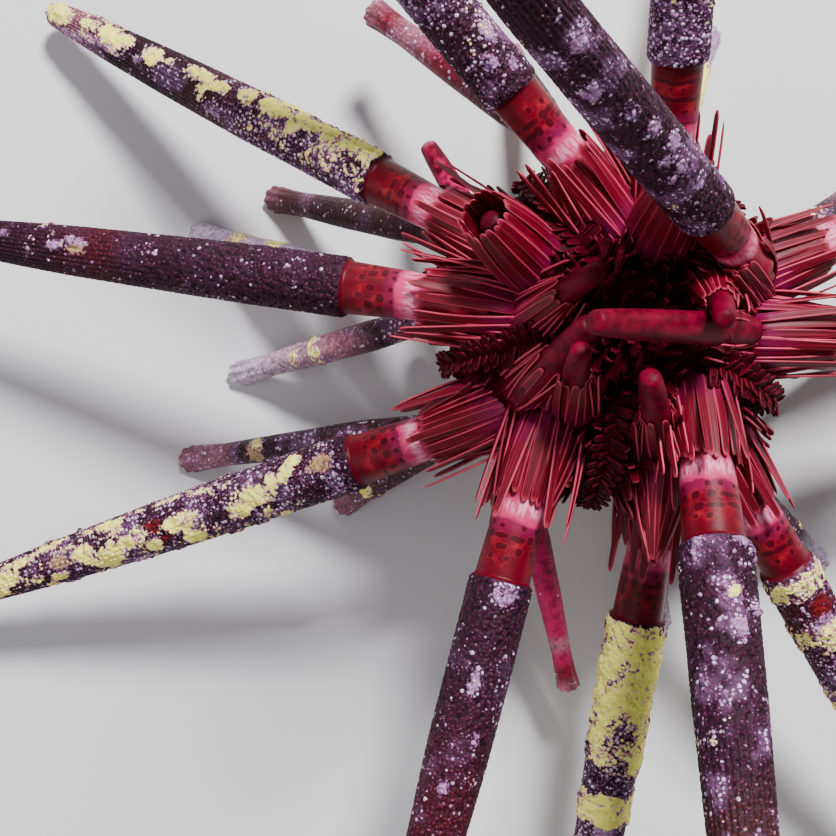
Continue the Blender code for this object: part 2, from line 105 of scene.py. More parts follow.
def tone(red, green, blue):
    """Colour given as it looks on a screen, from 0 to 255, as the linear values of a shader."""
    linear = []
    for level in (red, green, blue):
        share = level / 255
        linear.append(share / 12.92 if share <= 0.04045 else ((share + 0.055) / 1.055) ** 2.4)
    return (*linear, 1)


PLUM = tone(56, 11, 37)
MAROON = tone(84, 12, 28)
BROWN = tone(78, 34, 32)
UMBER = tone(38, 12, 20)
FLECK = tone(112, 40, 82)
# Darkest purple: painted shade in the hollows of the grain and between grains, and the dark of red stains
SHADE_AND_STAIN_DARK = tone(16, 3, 10)
LILAC = tone(164, 112, 166)
PALE_LILAC = tone(236, 216, 242)
GREY_PINK = tone(188, 118, 138)
CREAM = tone(255, 248, 118)
CREAM_SHADE = tone(255, 238, 108)
PALE_CREAM = tone(248, 240, 214)
TAN = tone(184, 148, 108)
STAIN = tone(112, 8, 20)
CRIMSON_PINK = tone(200, 24, 98)
DEEP_CRIMSON = tone(92, 2, 26)
YOUNG_DARK = tone(76, 0, 22)
YOUNG_RED = tone(112, 0, 36)
YOUNG_PINK = tone(148, 18, 62)
COLLAR_RED = tone(120, 4, 26)
COLLAR_DEEP = tone(90, 0, 20)
COLLAR_LIGHT = tone(154, 30, 42)
COLLAR_SPOT = tone(66, 0, 19)
# Pale band at the collar's base: its pink partly the spine's own, its white a painted highlight
BAND_PINK_AND_HIGHLIGHT = tone(196, 48, 100)
BAND_WHITE_HIGHLIGHT = tone(240, 150, 184)
BAND_VIOLET = tone(122, 14, 66)
NECK_RED = tone(136, 14, 44)
BLADE_FOOT = tone(120, 6, 70)
BLADE_DEEP = tone(78, 0, 20)
BLADE_RED = tone(114, 0, 27)
# Pale edges of the crimson and of the dark flat spines: partly their own colour, partly a painted highlight
BLADE_EDGE_AND_HIGHLIGHT = tone(206, 66, 96)
DARK_EDGE_AND_HIGHLIGHT = tone(104, 10, 34)
SKIN_DARK = tone(34, 0, 9)
SKIN_RED = tone(70, 0, 18)
SKIN_FLECK = tone(132, 26, 46)
MOUTH_PALE = tone(176, 84, 84)
TOOTH_IVORY = tone(238, 230, 200)
TOOTH_STAIN = tone(196, 150, 120)
FLOOR_PALE = tone(232, 230, 234)


@dataclass
class Look:
    """How one primary spine is marked. Places along it are millimetres from its root.

    Ground holds places and colours, and speck places and the share of grains that are
    white. Rings of crust hold a place, half length, cover and how far they keep to the lit
    side, which paints a highlight there, partly over real crust; bands hold a place and half
    width left bare. Patches of crust, pale crust, tan crust and red stain each hold a place,
    where it lies across the spine from -1 to 1 as the camera sees it, and its half length
    and half width. Blotch is how far white grains crowd together, grain how coarse the shaft
    is, lines where dark rings cross the collar, and dots how large its spots are.
    """
    ground: Sequence = ((0, PLUM),)
    rings: Sequence = ()
    crust: Sequence = ()
    pale: Sequence = ()
    tan: Sequence = ()
    stain: Sequence = ()
    bands: Sequence = ()
    speck: Sequence = ((0, 0.15),)
    blotch: float = 0
    grain: float = 1
    lines: Sequence = ()
    dots: float = 1


def ramp_of(places, stops):
    """Colour at each place between stops of a place and a colour."""
    at = [stop[0] for stop in stops]
    return np.stack([np.interp(places, at, [stop[1][i] for stop in stops]) for i in range(3)], -1)


LOOKS = {
    "2A2": Look(
        ground=[(27, PLUM), (31, BROWN), (37, UMBER), (47, UMBER), (51, GREY_PINK)],
        rings=[(20, 8, 0.62, 1), (49, 5, 0.5, 0.6)],
        crust=[(13.4, 0.6, 1.7, 1.5), (15.8, 0.6, 2, 1.4), (18.2, 0.55, 1.8, 1.3), (20, 0.5, 1.2, 1),
            (21.7, 0.25, 1.1, 1.4), (25.2, 0.45, 1.6, 1), (23.4, 0.5, 0.9, 0.7), (28.1, 0.4, 1.3, 1),
            (34.2, 0.3, 2.4, 1), (33.2, -0.3, 0.9, 1), (31.4, 0.3, 1.2, 0.7), (38, 0.3, 0.75, 0.7),
            (40.7, 0.2, 1.4, 1.3), (46, 0.3, 2.8, 1.2), (50, 0.2, 2, 0.9), (54.6, 0.1, 3.4, 2)],
        pale=[(30.6, -0.7, 1.6, 0.8), (42, -0.2, 0.8, 0.8), (47.5, -0.5, 3.2, 0.7), (52, -0.8, 2.6, 0.8)],
        speck=[(12, 0.75), (28, 0.62), (31, 0.3), (34, 0.06)], blotch=0.35),
    "2B2": Look(
        ground=[(33, PLUM), (36, MAROON), (42, PLUM), (56, UMBER)],
        pale=[(38.6, 0.3, 1.1, 0.7), (40.6, 0, 0.7, 0.5), (46.6, 0.3, 0.9, 0.5)], tan=[(38.2, 0, 1, 0.6)],
        speck=[(12, 0.06), (22, 0.07), (30, 0.02)], blotch=0.04),
    "3A2": Look(
        rings=[(26, 8, 0.36, 0.2), (44, 15, 0.46, 0.2)],
        crust=[(17.5, 0.7, 0.9, 0.7), (18.6, 0.4, 1, 0.8), (20, 0.3, 0.7, 1.3), (22, -0.05, 1.4, 1),
            (24, -0.4, 1.5, 0.9), (21.8, -0.7, 1, 0.6), (20.1, -0.9, 0.7, 0.5), (29.6, 0, 1.4, 1),
            (29.4, -0.7, 1.3, 0.9), (31, -0.05, 1.2, 0.8), (33.8, -0.6, 0.8, 0.7), (38.7, -0.5, 2.2, 1.4),
            (36.5, -0.2, 1.2, 0.8), (41.3, 0, 1.8, 1.2), (45.1, -0.6, 1.4, 0.8), (46.6, -0.9, 1.3, 0.8),
            (50.8, -0.05, 2, 1.1), (53, -0.6, 1.8, 0.9), (31.5, 0.85, 2, 0.5), (35, 0.8, 2.6, 0.5),
            (39, 0.75, 3, 0.7), (44.5, 0.8, 2, 0.5), (48.5, 0.6, 2.4, 0.9), (57.6, 0, 2.8, 2.4)],
        pale=[(36, -0.9, 2.4, 0.6), (44.8, -1, 2, 0.6)], tan=[(15.1, 0.25, 1.3, 1), (44.4, -0.05, 1.3, 1)],
        stain=[(33.1, 0.17, 1, 0.8), (32.3, -0.44, 0.8, 0.5), (18.8, 0.5, 0.5, 0.4)],
        speck=[(12, 0.34), (16, 0.5)], blotch=0.25),
    "3B2": Look(
        ground=[(22, PLUM), (34, MAROON), (52, PLUM)],
        pale=[(13.2, 0.1, 1.1, 1.1), (21, -0.1, 1.3, 0.45), (25.6, 0.35, 0.8, 0.4), (30, -0.3, 0.7, 0.5)],
        speck=[(12, 0.09), (52, 0.15)], blotch=0.1),
    "4A3": Look(
        ground=[(0, UMBER)],
        rings=[(19, 8.8, 0.93, 0), (30.8, 1.9, 1, 0), (36.2, 2.4, 0.95, 0), (42.5, 3.6, 0.9, 0),
            (49, 2, 1, 0)],
        pale=[(14, 0.6, 2.6, 1), (19, -0.7, 3, 1), (22.6, 0.3, 1.4, 1.2), (33, 0.1, 2, 1.4)],
        tan=[(25, 0.3, 0.8, 1.2)], stain=[(22, -0.5, 0.6, 0.8)],
        bands=[(28.4, 0.7), (33.2, 0.5), (38.8, 0.6)], speck=[(0, 0.85)], blotch=0.6),
    "4B1": Look(
        ground=[(30, PLUM), (36, BROWN)], crust=[(17, 0.15, 0.8, 0.6)],
        pale=[(12.8, 0.5, 0.5, 0.9), (13.4, 0.9, 0.9, 0.8), (13, -0.65, 1, 0.5), (14.8, 0.4, 0.4, 0.4),
            (17, 0.15, 1.2, 1), (18.2, 0.8, 1.1, 0.7), (20, 0.25, 0.9, 0.9)], tan=[(40, 0, 3, 1.2)],
        speck=[(12, 0.08), (18, 0.1), (50, 0.14)], blotch=0.42),
    "4B2": Look(
        ground=[(18, MAROON), (24, PLUM)],
        rings=[(14, 1.3, 0.95, 0.2), (19.6, 1.8, 0.75, 0), (27, 2.2, 0.85, 0.2), (35, 3, 0.8, 0),
            (44, 3.2, 0.95, 0)], pale=[(18.4, 0, 1.4, 1.6), (23, 0.2, 1.8, 1.4)],
        stain=[(16.4, 0.2, 1.4, 1.4)], speck=[(0, 0.5)], blotch=0.4),
    "5A2": Look(
        rings=[(14, 2, 0.85, 0.2), (22, 2.4, 0.7, 0.4), (31, 2.8, 0.75, 0.4), (42, 4, 0.85, 0.2)],
        speck=[(0, 0.3)], blotch=0.3),
    "5B2": Look(
        ground=[(40, PLUM), (60, UMBER)],
        pale=[(30.4, -0.35, 1.1, 1), (27.4, -0.1, 0.9, 0.8), (24.4, 0.05, 0.8, 0.7),
            (23.8, -0.45, 0.7, 0.6), (21.7, -0.2, 0.7, 0.6), (21.5, -0.6, 0.4, 0.5), (18.7, -0.1, 0.6, 0.6),
            (34.4, -0.75, 1, 1), (38.4, -0.2, 1.2, 0.9)], speck=[(0, 0.12)], blotch=0.5),
    "5B3": Look(
        rings=[(15, 2.4, 0.7, 0.6), (26, 2.6, 0.66, 0.5), (38, 3.4, 0.8, 0.4), (46, 2.6, 1, 0)],
        speck=[(0, 0.4)], blotch=0.35),
    "1A2": Look(
        rings=[(20, 4, 0.3, 0.3), (30, 3.6, 0.45, 0.3), (41, 4, 0.6, 0.2)],
        speck=[(12, 0.72), (50, 0.6)], blotch=0.3, lines=(7.4, 9.6, 11.1), dots=0.6),
    "1B1": Look(
        rings=[(19, 2.4, 0.25, 0.2), (35, 3, 0.42, 0.3), (47, 3.4, 0.6, 0.2)],
        pale=[(15.4, -0.2, 1, 0.6), (17.6, 0.4, 1, 0.6), (14.4, 0.4, 0.8, 0.5)],
        speck=[(12, 0.34), (50, 0.3)], blotch=0.45),
    "2A3": Look(
        ground=[(0, UMBER), (14, BROWN), (20, UMBER), (28, BROWN), (33, GREY_PINK)],
        speck=[(0, 0.04)], blotch=0.2, grain=0.5),
    "2B3": Look(
        ground=[(0, NECK_RED), (6, LILAC), (36, PALE_LILAC)],
        rings=[(24, 1.6, 0.75, 0.2), (29, 1.6, 1.05, 0)], speck=[(0, 0.1)], blotch=0.2, grain=0.4),
    "2B4": Look(
        ground=[(0, NECK_RED), (9, UMBER), (15, GREY_PINK), (30, PALE_LILAC)],
        rings=[(17.6, 0.9, 0.85, 0), (21.5, 1.6, 0.55, 0.3)], speck=[(0, 0.2)], blotch=0.3, grain=0.6),
    "3A3": Look(
        ground=[(0, NECK_RED), (8, BROWN), (22, UMBER), (28.5, UMBER), (31, GREY_PINK)],
        crust=[(25.8, 0.6, 0.9, 0.9)], tan=[(26, 0, 1.2, 2)], speck=[(0, 0.2)], blotch=0.4, grain=0.7),
    "3B3": Look(
        ground=[(0, NECK_RED), (9, BROWN), (18, GREY_PINK), (34, PALE_LILAC)],
        speck=[(0, 0.15)], blotch=0.3, grain=0.8),
    "3B4": Look(
        ground=[(0, DEEP_CRIMSON), (10, CRIMSON_PINK), (20, CRIMSON_PINK), (21.2, GREY_PINK),
            (22.6, CRIMSON_PINK), (25, NECK_RED), (27, GREY_PINK)], speck=[(0, 0)], grain=0.15),
    "1B2": Look(
        ground=[(0, NECK_RED), (12, BROWN), (20, NECK_RED), (25, GREY_PINK), (28, NECK_RED),
            (31, GREY_PINK)], speck=[(0, 0.12)], blotch=0.3, grain=0.6),
    "2A4": Look(
        ground=[(0, DEEP_CRIMSON), (9, CRIMSON_PINK), (14, NECK_RED), (15, GREY_PINK)],
        speck=[(0, 0)], grain=0.15),
    "1A3": Look(
        ground=[(0, NECK_RED), (8, GREY_PINK), (34, PALE_LILAC)], rings=[(14, 5, 1.1, 0), (24, 4, 1.15, 0)],
        pale=[(31, 0, 3, 2.2)], speck=[(0, 0.2)], grain=0.8),
    "1A4": Look(
        ground=[(0, NECK_RED), (8, GREY_PINK), (24, PALE_LILAC)],
        rings=[(12, 4, 1.2, 0), (19, 3.6, 1.2, 0)], pale=[(26, 0, 3, 2.2)], speck=[(0, 0.2)], grain=0.8),
}


def level(azimuth):
    """Unit vector along a compass direction, in degrees from +X towards +Y."""
    angle = math.radians(azimuth)
    return Vector((math.cos(angle), math.sin(angle), 0))


def direction(heading, rise):
    """Unit vector with a heading and a rise above level, both in degrees."""
    slope = math.radians(rise)
    return level(heading) * math.cos(slope) + Vector((0, 0, math.sin(slope)))


def on_test(azimuth, polar):
    """Point on the test's surface, with polar counted from the apex down."""
    angle = math.radians(polar)
    out = level(azimuth) * TEST_RADIUS * math.sin(angle)
    return TEST_CENTRE + out + Vector((0, 0, TEST_HALF_HEIGHT * math.cos(angle)))


def onto_test(point):
    """Point of the test's surface that lies towards a point from the test's centre."""
    offset = point - TEST_CENTRE
    share = math.hypot(math.hypot(offset.x, offset.y) / TEST_RADIUS, offset.z / TEST_HALF_HEIGHT)
    return TEST_CENTRE + offset / share


def normal_at(point):
    """Outward normal of the test near a point."""
    offset = point - TEST_CENTRE
    wide = TEST_RADIUS ** 2
    tall = TEST_HALF_HEIGHT ** 2
    return Vector((offset.x / wide, offset.y / wide, offset.z / tall)).normalized()


def azimuth_of(point):
    """Compass direction of a point from the test's axis, from 0 to 360."""
    return math.degrees(math.atan2(point.y - AXIS_Y, point.x - AXIS_X)) % 360


def polar_of(point):
    """Polar angle of a point of the test's surface."""
    return math.degrees(math.acos(max(-1, min(1, (point.z - TEST_CENTRE.z) / TEST_HALF_HEIGHT))))


@dataclass
class Spine:
    """Place and size of one primary spine, named by its sector, column and row."""
    name: str
    sector: int
    row: int
    seed: int
    root: Vector
    heading: Vector
    length: float
    radius: float
    stands: bool

    @property
    def large(self):
        """Whether it is one of the long spines with a collar."""
        return self.length >= LARGE_LENGTH

    @property
    def young(self):
        """Whether it is short and smooth, and doesn't reach the floor."""
        return self.length < YOUNG_LENGTH and not self.stands


def all_spines():
    """Every primary spine, sector by sector."""
    found = []
    for column, rows in SPINES.items():
        sector = int(column[0])
        for row, (polar, heading, rise, reach, thickness) in enumerate(rows, 1):
            root = on_test(COLUMN_AZIMUTHS[column[1]][sector - 1], polar)
            length = reach * MM
            stands = rise is None
            if stands:
                rise = -math.degrees(math.atan2(root.z, length))
                length = math.hypot(root.z, length)
            seed = 100 * sector + (50 if column[1] == "B" else 0) + row - 1
            found.append(Spine(f"{column}{row}", sector, row, seed, root, direction(heading, rise),
                               length, 0.5 * thickness * MM, stands))
    return found


# Repeatable noise on points

def lattice(cells, seed):
    """Repeatable number from 0 to 1 for each whole-numbered cell."""
    mixed = cells[..., 0] * 73856093 ^ cells[..., 1] * 19349663 ^ cells[..., 2] * 83492791
    mixed = (mixed ^ (seed * 40503 + 977)) & 0x7FFFFFFF
    mixed = (mixed ^ (mixed >> 15)) * 1274126177 & 0x7FFFFFFF
    mixed = (mixed ^ (mixed >> 13)) * 668265263 & 0x7FFFFFFF
    return ((mixed ^ (mixed >> 16)) & 0xFFFF) / 65535


def noise_at(points, size, seed):
    """Smooth noise from -1 to 1, with features of about the given size."""
    places = points / size
    cells = np.floor(places).astype(np.int64)
    part = places - cells
    part = part * part * (3 - 2 * part)
    total = np.zeros(points.shape[:-1])
    for corner in np.ndindex(2, 2, 2):
        weight = np.prod(np.where(np.array(corner) == 1, part, 1 - part), axis=-1)
        total += weight * lattice(cells + np.array(corner), seed)
    return 2 * total - 1


def layered_noise(points, seed, *layers):
    """Sum of layers of noise, each given as strength, size in millimetres and number."""
    return sum(strength * noise_at(points, size * MM, seed + number)
               for strength, size, number in layers)


def smooth_step(low, high, values):
    """0 below low, 1 above high and a smooth rise between."""
    share = np.clip((values - low) / (high - low), 0, 1)
    return share * share * (3 - 2 * share)


def wrapped(angle):
    """The same angle, between half a turn back and half a turn on."""
    return (angle + math.pi) % TURN - math.pi


# Meshes

WHOLE_MAP = (0, 0, 1, 1)


def add_to_scene(thing):
    """Link an object to the scene."""
    bpy.context.scene.collection.objects.link(thing)
    return thing


class Heap:
    """Closed forms gathered into one mesh, with values at points and a map at corners."""

    def __init__(self):
        self.points = []
        self.corners = []
        self.sizes = []
        self.places = []
        self.values = {}
        self.count = 0

    def add(self, points, groups, values):
        """Add a form. A group is its faces as rows of point numbers, and their map places."""
        self.points.append(points)
        for faces, places in groups:
            self.corners.append((faces + self.count).ravel())
            self.sizes.append(np.full(len(faces), faces.shape[1]))
            self.places.append(places.reshape(-1, 2))
        for name, found in values.items():
            self.values.setdefault(name, []).append(found)
        self.count += len(points)

    def add_tube(self, points, ends, rows_at, box, values, inward=False):
        """Add a closed tube of rings of points, with a point more at each end.

        The map is unrolled into a box of left, bottom, width and height, with rows_at the
        share of the way along at each ring. A value is given for the rings and for both ends.
        """
        rings, around = points.shape[:2]
        j = np.arange(around)
        after = (j + 1) % around
        first = (np.arange(rings - 1) * around)[:, None]
        quads = np.stack([first + j, first + after, first + around + after, first + around + j], -1)
        here = np.broadcast_to(j / around, (rings - 1, around))
        there = here + 1 / around
        low = np.broadcast_to(rows_at[:-1, None], here.shape)
        high = np.broadcast_to(rows_at[1:, None], here.shape)
        places = np.stack([here, low, there, low, there, high, here, high], -1)

        last = (rings - 1) * around
        end = np.full(around, rings * around)
        caps = np.concatenate([np.stack([after, j, end], -1),
                               np.stack([last + j, last + after, end + 1], -1)])
        near, far = here[0], there[0]
        middle = near + 0.5 / around
        foot = 0 * near
        top = foot + 1
        cap_places = np.concatenate([np.stack([far, foot, near, foot, middle, foot], -1),
                                     np.stack([near, top, far, top, middle, top], -1)])
        offset, scale = np.array(box[:2]), np.array(box[2:])
        groups = [(quads.reshape(-1, 4), places.reshape(-1, 4, 2) * scale + offset),
                  (caps, cap_places.reshape(-1, 3, 2) * scale + offset)]
        if inward:
            groups = [(faces[:, ::-1], spots[:, ::-1]) for faces, spots in groups]
        values = {name: np.concatenate([grid.reshape(-1, *grid.shape[2:]), [one], [other]])
                  for name, (grid, one, other) in values.items()}
        self.add(np.concatenate([points.reshape(-1, 3), ends]), groups, values)

    def finish(self, name, material):
        """Make the mesh object."""
        parts = (self.points, self.corners, self.sizes, self.places)
        points, corners, sizes, places = (np.concatenate(part) for part in parts)
        mesh = bpy.data.meshes.new(name)
        mesh.vertices.add(len(points))
        mesh.vertices.foreach_set("co", points.astype(np.float32).ravel())
        mesh.loops.add(len(corners))
        mesh.loops.foreach_set("vertex_index", corners.astype(np.int32))
        mesh.polygons.add(len(sizes))
        mesh.polygons.foreach_set("loop_start", (np.cumsum(sizes) - sizes).astype(np.int32))
        mesh.update(calc_edges=True)
        bake_map = mesh.uv_layers.new(name="OFBake")
        bake_map.uv.foreach_set("vector", places.astype(np.float32).ravel())
        for value_name, found in self.values.items():
            found = np.concatenate(found).astype(np.float32)
            wide = found.ndim > 1
            layer = mesh.attributes.new(value_name, "FLOAT_VECTOR" if wide else "FLOAT", "POINT")
            layer.data.foreach_set("vector" if wide else "value", found.ravel())
        mesh.shade_smooth()
        mesh.materials.append(material)
        return add_to_scene(bpy.data.objects.new(name, mesh))


# Primary spines

LARGE_ROWS = 34
LARGE_AROUND = 4 * LARGE_ROWS
SMALL_ROWS = 20
SMALL_AROUND = 3 * SMALL_ROWS
YOUNG_AROUND = 28
BEAD_PITCH = 0.46 * MM
SHAFT_START = 12.15 * MM
SHAFT_STEP = 0.165 * MM
COLLAR_STEP = 0.24 * MM
EDGE_STEP = 0.09 * MM
TIP_ROUND = 1.1 * MM
SMALL_ROUND = 0.22 * MM
YOUNG_ROUND = 0.42 * MM
RIDGE_HEIGHT = 0.16 * MM
CRUST_HEIGHT = 0.28 * MM
CROWN_RIDGES = 9
CROWN_DEPTH = 0.07
# Side of the spines that faces the key lamp
LIT_SIDE = Vector((-0.1, 0.72, 0.68)).normalized()
# How ragged the edge of each kind of patch is
RAGGED = {"crust": 1.15, "pale": 1.15, "tan": 0.8, "stain": 0.8}

# Distance from the root in millimetres and factor of the shaft's radius
LARGE_BASE = ((-0.8, 0.6), (0.3, 0.64), (0.9, 0.76), (1.5, 0.85), (2.1, 0.84), (2.7, 0.77),
              (3.6, 0.75), (5, 0.79), (7, 0.84), (9.5, 0.885), (11.9, 0.92), (12.1, 0.925),
              (12.35, 1), (12.8, 1.03))
# Share of the whole length and factor of the shaft's radius
LARGE_SHAFT = ((0.5, 0.98), (0.7, 0.86), (0.84, 0.72), (0.94, 0.56), (1, 0.46))
SMALL_SHAPE = ((-0.03, 0.7), (0, 0.75), (0.035, 1.02), (0.06, 1), (0.1, 0.82), (0.2, 0.86),
               (0.35, 0.98), (0.6, 0.92), (0.84, 0.76), (0.94, 0.79), (1, 0.88))
FLARED_SHAPE = ((-0.03, 0.7), (0, 0.75), (0.035, 1.02), (0.06, 1), (0.1, 0.82), (0.3, 0.84),
                (0.6, 0.7), (0.84, 0.62), (0.94, 0.8), (1, 1.05))
YOUNG_SHAPE = ((-0.1, 0.8), (0, 0.9), (0.12, 1), (0.35, 0.96), (0.55, 0.92), (0.75, 0.85),
               (0.9, 0.76), (1, 0.64))
BUD_SHAPE = ((-0.1, 0.8), (0, 0.9), (0.12, 1), (0.35, 0.8), (0.6, 0.5), (0.8, 0.3),
             (1, 0.15))
OWN_SHAPES = {"3B3": FLARED_SHAPE, "4A2": BUD_SHAPE}


def frame_round(heading):
    """Two directions square to a heading, the first of them as near to down as it can be."""
    down = Vector((0, 0, -1))
    if abs(heading.z) > 0.97:
        down = Vector((0, -1, 0))
    across = (down - heading * heading.dot(down)).normalized()
    return across, heading.cross(across)


def facing(turn, across, beside, towards):
    """How far each point round a spine faces a direction."""
    return np.cos(turn) * across.dot(towards) + np.sin(turn) * beside.dot(towards)


def stations_of(spine):
    """Distances along a spine at which it has a ring of points, and its tip's rounding."""
    length = spine.length
    if spine.large:
        rounding = TIP_ROUND
        places = [np.arange(-0.8 * MM, SHAFT_START - 0.3 * MM, COLLAR_STEP),
                  np.arange(SHAFT_START - 0.28 * MM, SHAFT_START + 0.7 * MM, EDGE_STEP),
                  np.arange(SHAFT_START + 0.75 * MM, length - rounding, SHAFT_STEP)]
    else:
        rounding, count = (YOUNG_ROUND, 40) if spine.young else (SMALL_ROUND, 90)
        places = [np.arange(-0.6 * MM, length - rounding, length / count)]
    turned = np.linspace(0, math.pi / 2, 7)[:-1]
    places.append(length - rounding + rounding * np.sin(turned))
    return np.unique(np.concatenate(places).round(7)), rounding


def thickness_of(spine, along, rounding):
    """Plain radius at each distance along a spine."""
    if spine.large:
        places = [place * MM for place, _ in LARGE_BASE]
        places += [share * spine.length for share, _ in LARGE_SHAFT]
        factors = [factor for _, factor in LARGE_BASE + LARGE_SHAFT]
    else:
        shares, factors = zip(*OWN_SHAPES.get(spine.name, YOUNG_SHAPE if spine.young else SMALL_SHAPE))
        places = [share * spine.length for share in shares]
    radius = np.interp(along, places, factors) * spine.radius
    past = np.clip((along - (spine.length - rounding)) / rounding, 0, 1)
    return radius * np.sqrt(1 - past ** 2 * 0.985)


def beads_at(place, step, rows, seed, loose):
    """Distance to the nearest of the beads, which sit in rows but stray from them."""
    row = np.floor(place).astype(np.int64)
    bead = np.floor(step).astype(np.int64)
    nearest = np.full(place.shape, 9)
    for i in (-1, 0, 1):
        for j in (-1, 0, 1):
            cell = np.stack([(row + i) % rows, bead + j, np.zeros_like(row)], -1)
            sideways = row + i + 0.5 + loose * (lattice(cell, seed) - 0.5) - place
            lengthways = bead + j + 0.5 + 0.85 * (lattice(cell, seed + 1) - 0.5) - step
            size = 0.8 + 0.5 * lattice(cell, seed + 2)
            nearest = np.minimum(nearest, np.hypot(sideways, lengthways) / size)
    return nearest


def grain_of(along, turn, rows, seed, share):
    """Height from 0 to 1 of a shaft's grain: loose beads that pass into ridges at the tip."""
    place = turn / TURN * rows
    merged = smooth_step(0.25, 0.7, share)
    beads = beads_at(place, along / BEAD_PITCH, rows, seed, 0.9 - 0.8 * merged)
    lump = np.sqrt(np.clip(1 - (beads / 0.62) ** 2, 0, 1))
    ridge = np.abs(np.cos(math.pi * (place - np.floor(place) - 0.5)))
    return lump * (1 - 0.75 * merged) + ridge * 0.75 * merged


# Rows of marks on the collar: place and half length in millimetres, number round it
COLLAR_ROWS = ((7.7, 0.22, 13), (8.65, 0.33, 11), (9.65, 0.34, 10), (10.55, 0.24, 10))


def spots_of(spine, look, along, turn):
    """Strength of the dark marks on the collar: rows of spots and bars, and dark rings."""
    chance = random.Random(spine.seed)
    marks = np.zeros(along.shape)
    for place, size, count in COLLAR_ROWS:
        shift = chance.uniform(0, 1)
        for i in range(count):
            at = (place + chance.uniform(-0.1, 0.1)) * MM
            where = TURN * (i + shift + chance.uniform(-0.16, 0.16)) / count
            long_way = size * look.dots * chance.uniform(0.8, 1.2) * MM
            wide_way = size * look.dots * chance.uniform(0.8, 1.3) * MM
            bar = chance.random()
            if bar < 0.3 and size > 0.3:
                wide_way *= 1.9
                long_way *= 0.7
            if bar > 0.9:
                continue
            round_by = wrapped(turn - where) * 0.9 * spine.radius
            away = np.cbrt(np.abs((along - at) / long_way) ** 3 + np.abs(round_by / wide_way) ** 3)
            marks = np.maximum(marks, 1.5 - away)
    for place in look.lines:
        wave = 0.06 * MM * np.sin(turn * 3 + place) + 0.03 * MM * np.sin(turn * 7)
        marks = np.maximum(marks, 1.3 - np.abs(along - place * MM + wave) / (0.22 * MM))
    return np.clip(marks, 0, 1.5)


def seen_round(spine, turn, across, beside):
    """Angle round a spine at each point, from its upper side towards the top of the photo."""
    up = Vector((0, 0, 1)) - spine.heading * spine.heading.z
    side = spine.heading.cross(up)
    if side.dot(Vector((0.3, 1, 0))) < 0:
        side = -side
    return np.arctan2(facing(turn, across, beside, side), facing(turn, across, beside, up))


def markings(spine, look, along, local, turn, across, beside):
    """Cover of crust, pale crust, tan and red stain at each point, over 0 where it lies."""
    lit = smooth_step(-0.35, 0.45, facing(turn, across, beside, LIT_SIDE))
    angle = seen_round(spine, turn, across, beside)
    stretched = local * np.array([1, 1, 0.7])
    rough = layered_noise(stretched, spine.seed, (0.3, 2, 11), (0.26, 0.9, 12), (0.16, 0.45, 13))
    cover = {kind: np.zeros(along.shape) for kind in RAGGED}
    # Rings of crust thin out away from the key lamp: partly real crust, partly a painted highlight on the
    # lit side
    for place, half, amount, side in look.rings:
        away = np.abs(along / MM - place) / half
        ring = amount * (1 - smooth_step(0.6, 1.35, away)) * (1 - side + side * lit)
        cover["crust"] = np.maximum(cover["crust"], ring)
    for kind in cover:
        for place, aside, half_length, half_width in getattr(look, kind):
            turned = wrapped(angle - math.asin(aside)) * spine.radius / MM
            away = np.hypot((along / MM - place) / half_length, turned / half_width)
            cover[kind] = np.maximum(cover[kind], 1.1 * (1 - smooth_step(0.3, 1.75, away)))
    for place, half in look.bands:
        away = np.abs(along / MM - place + 0.5 * rough) / half
        cover["crust"] = cover["crust"] * smooth_step(0.7, 1.3, away)
    return {kind: cover[kind] - 0.52 + ragged * rough for kind, ragged in RAGGED.items()}


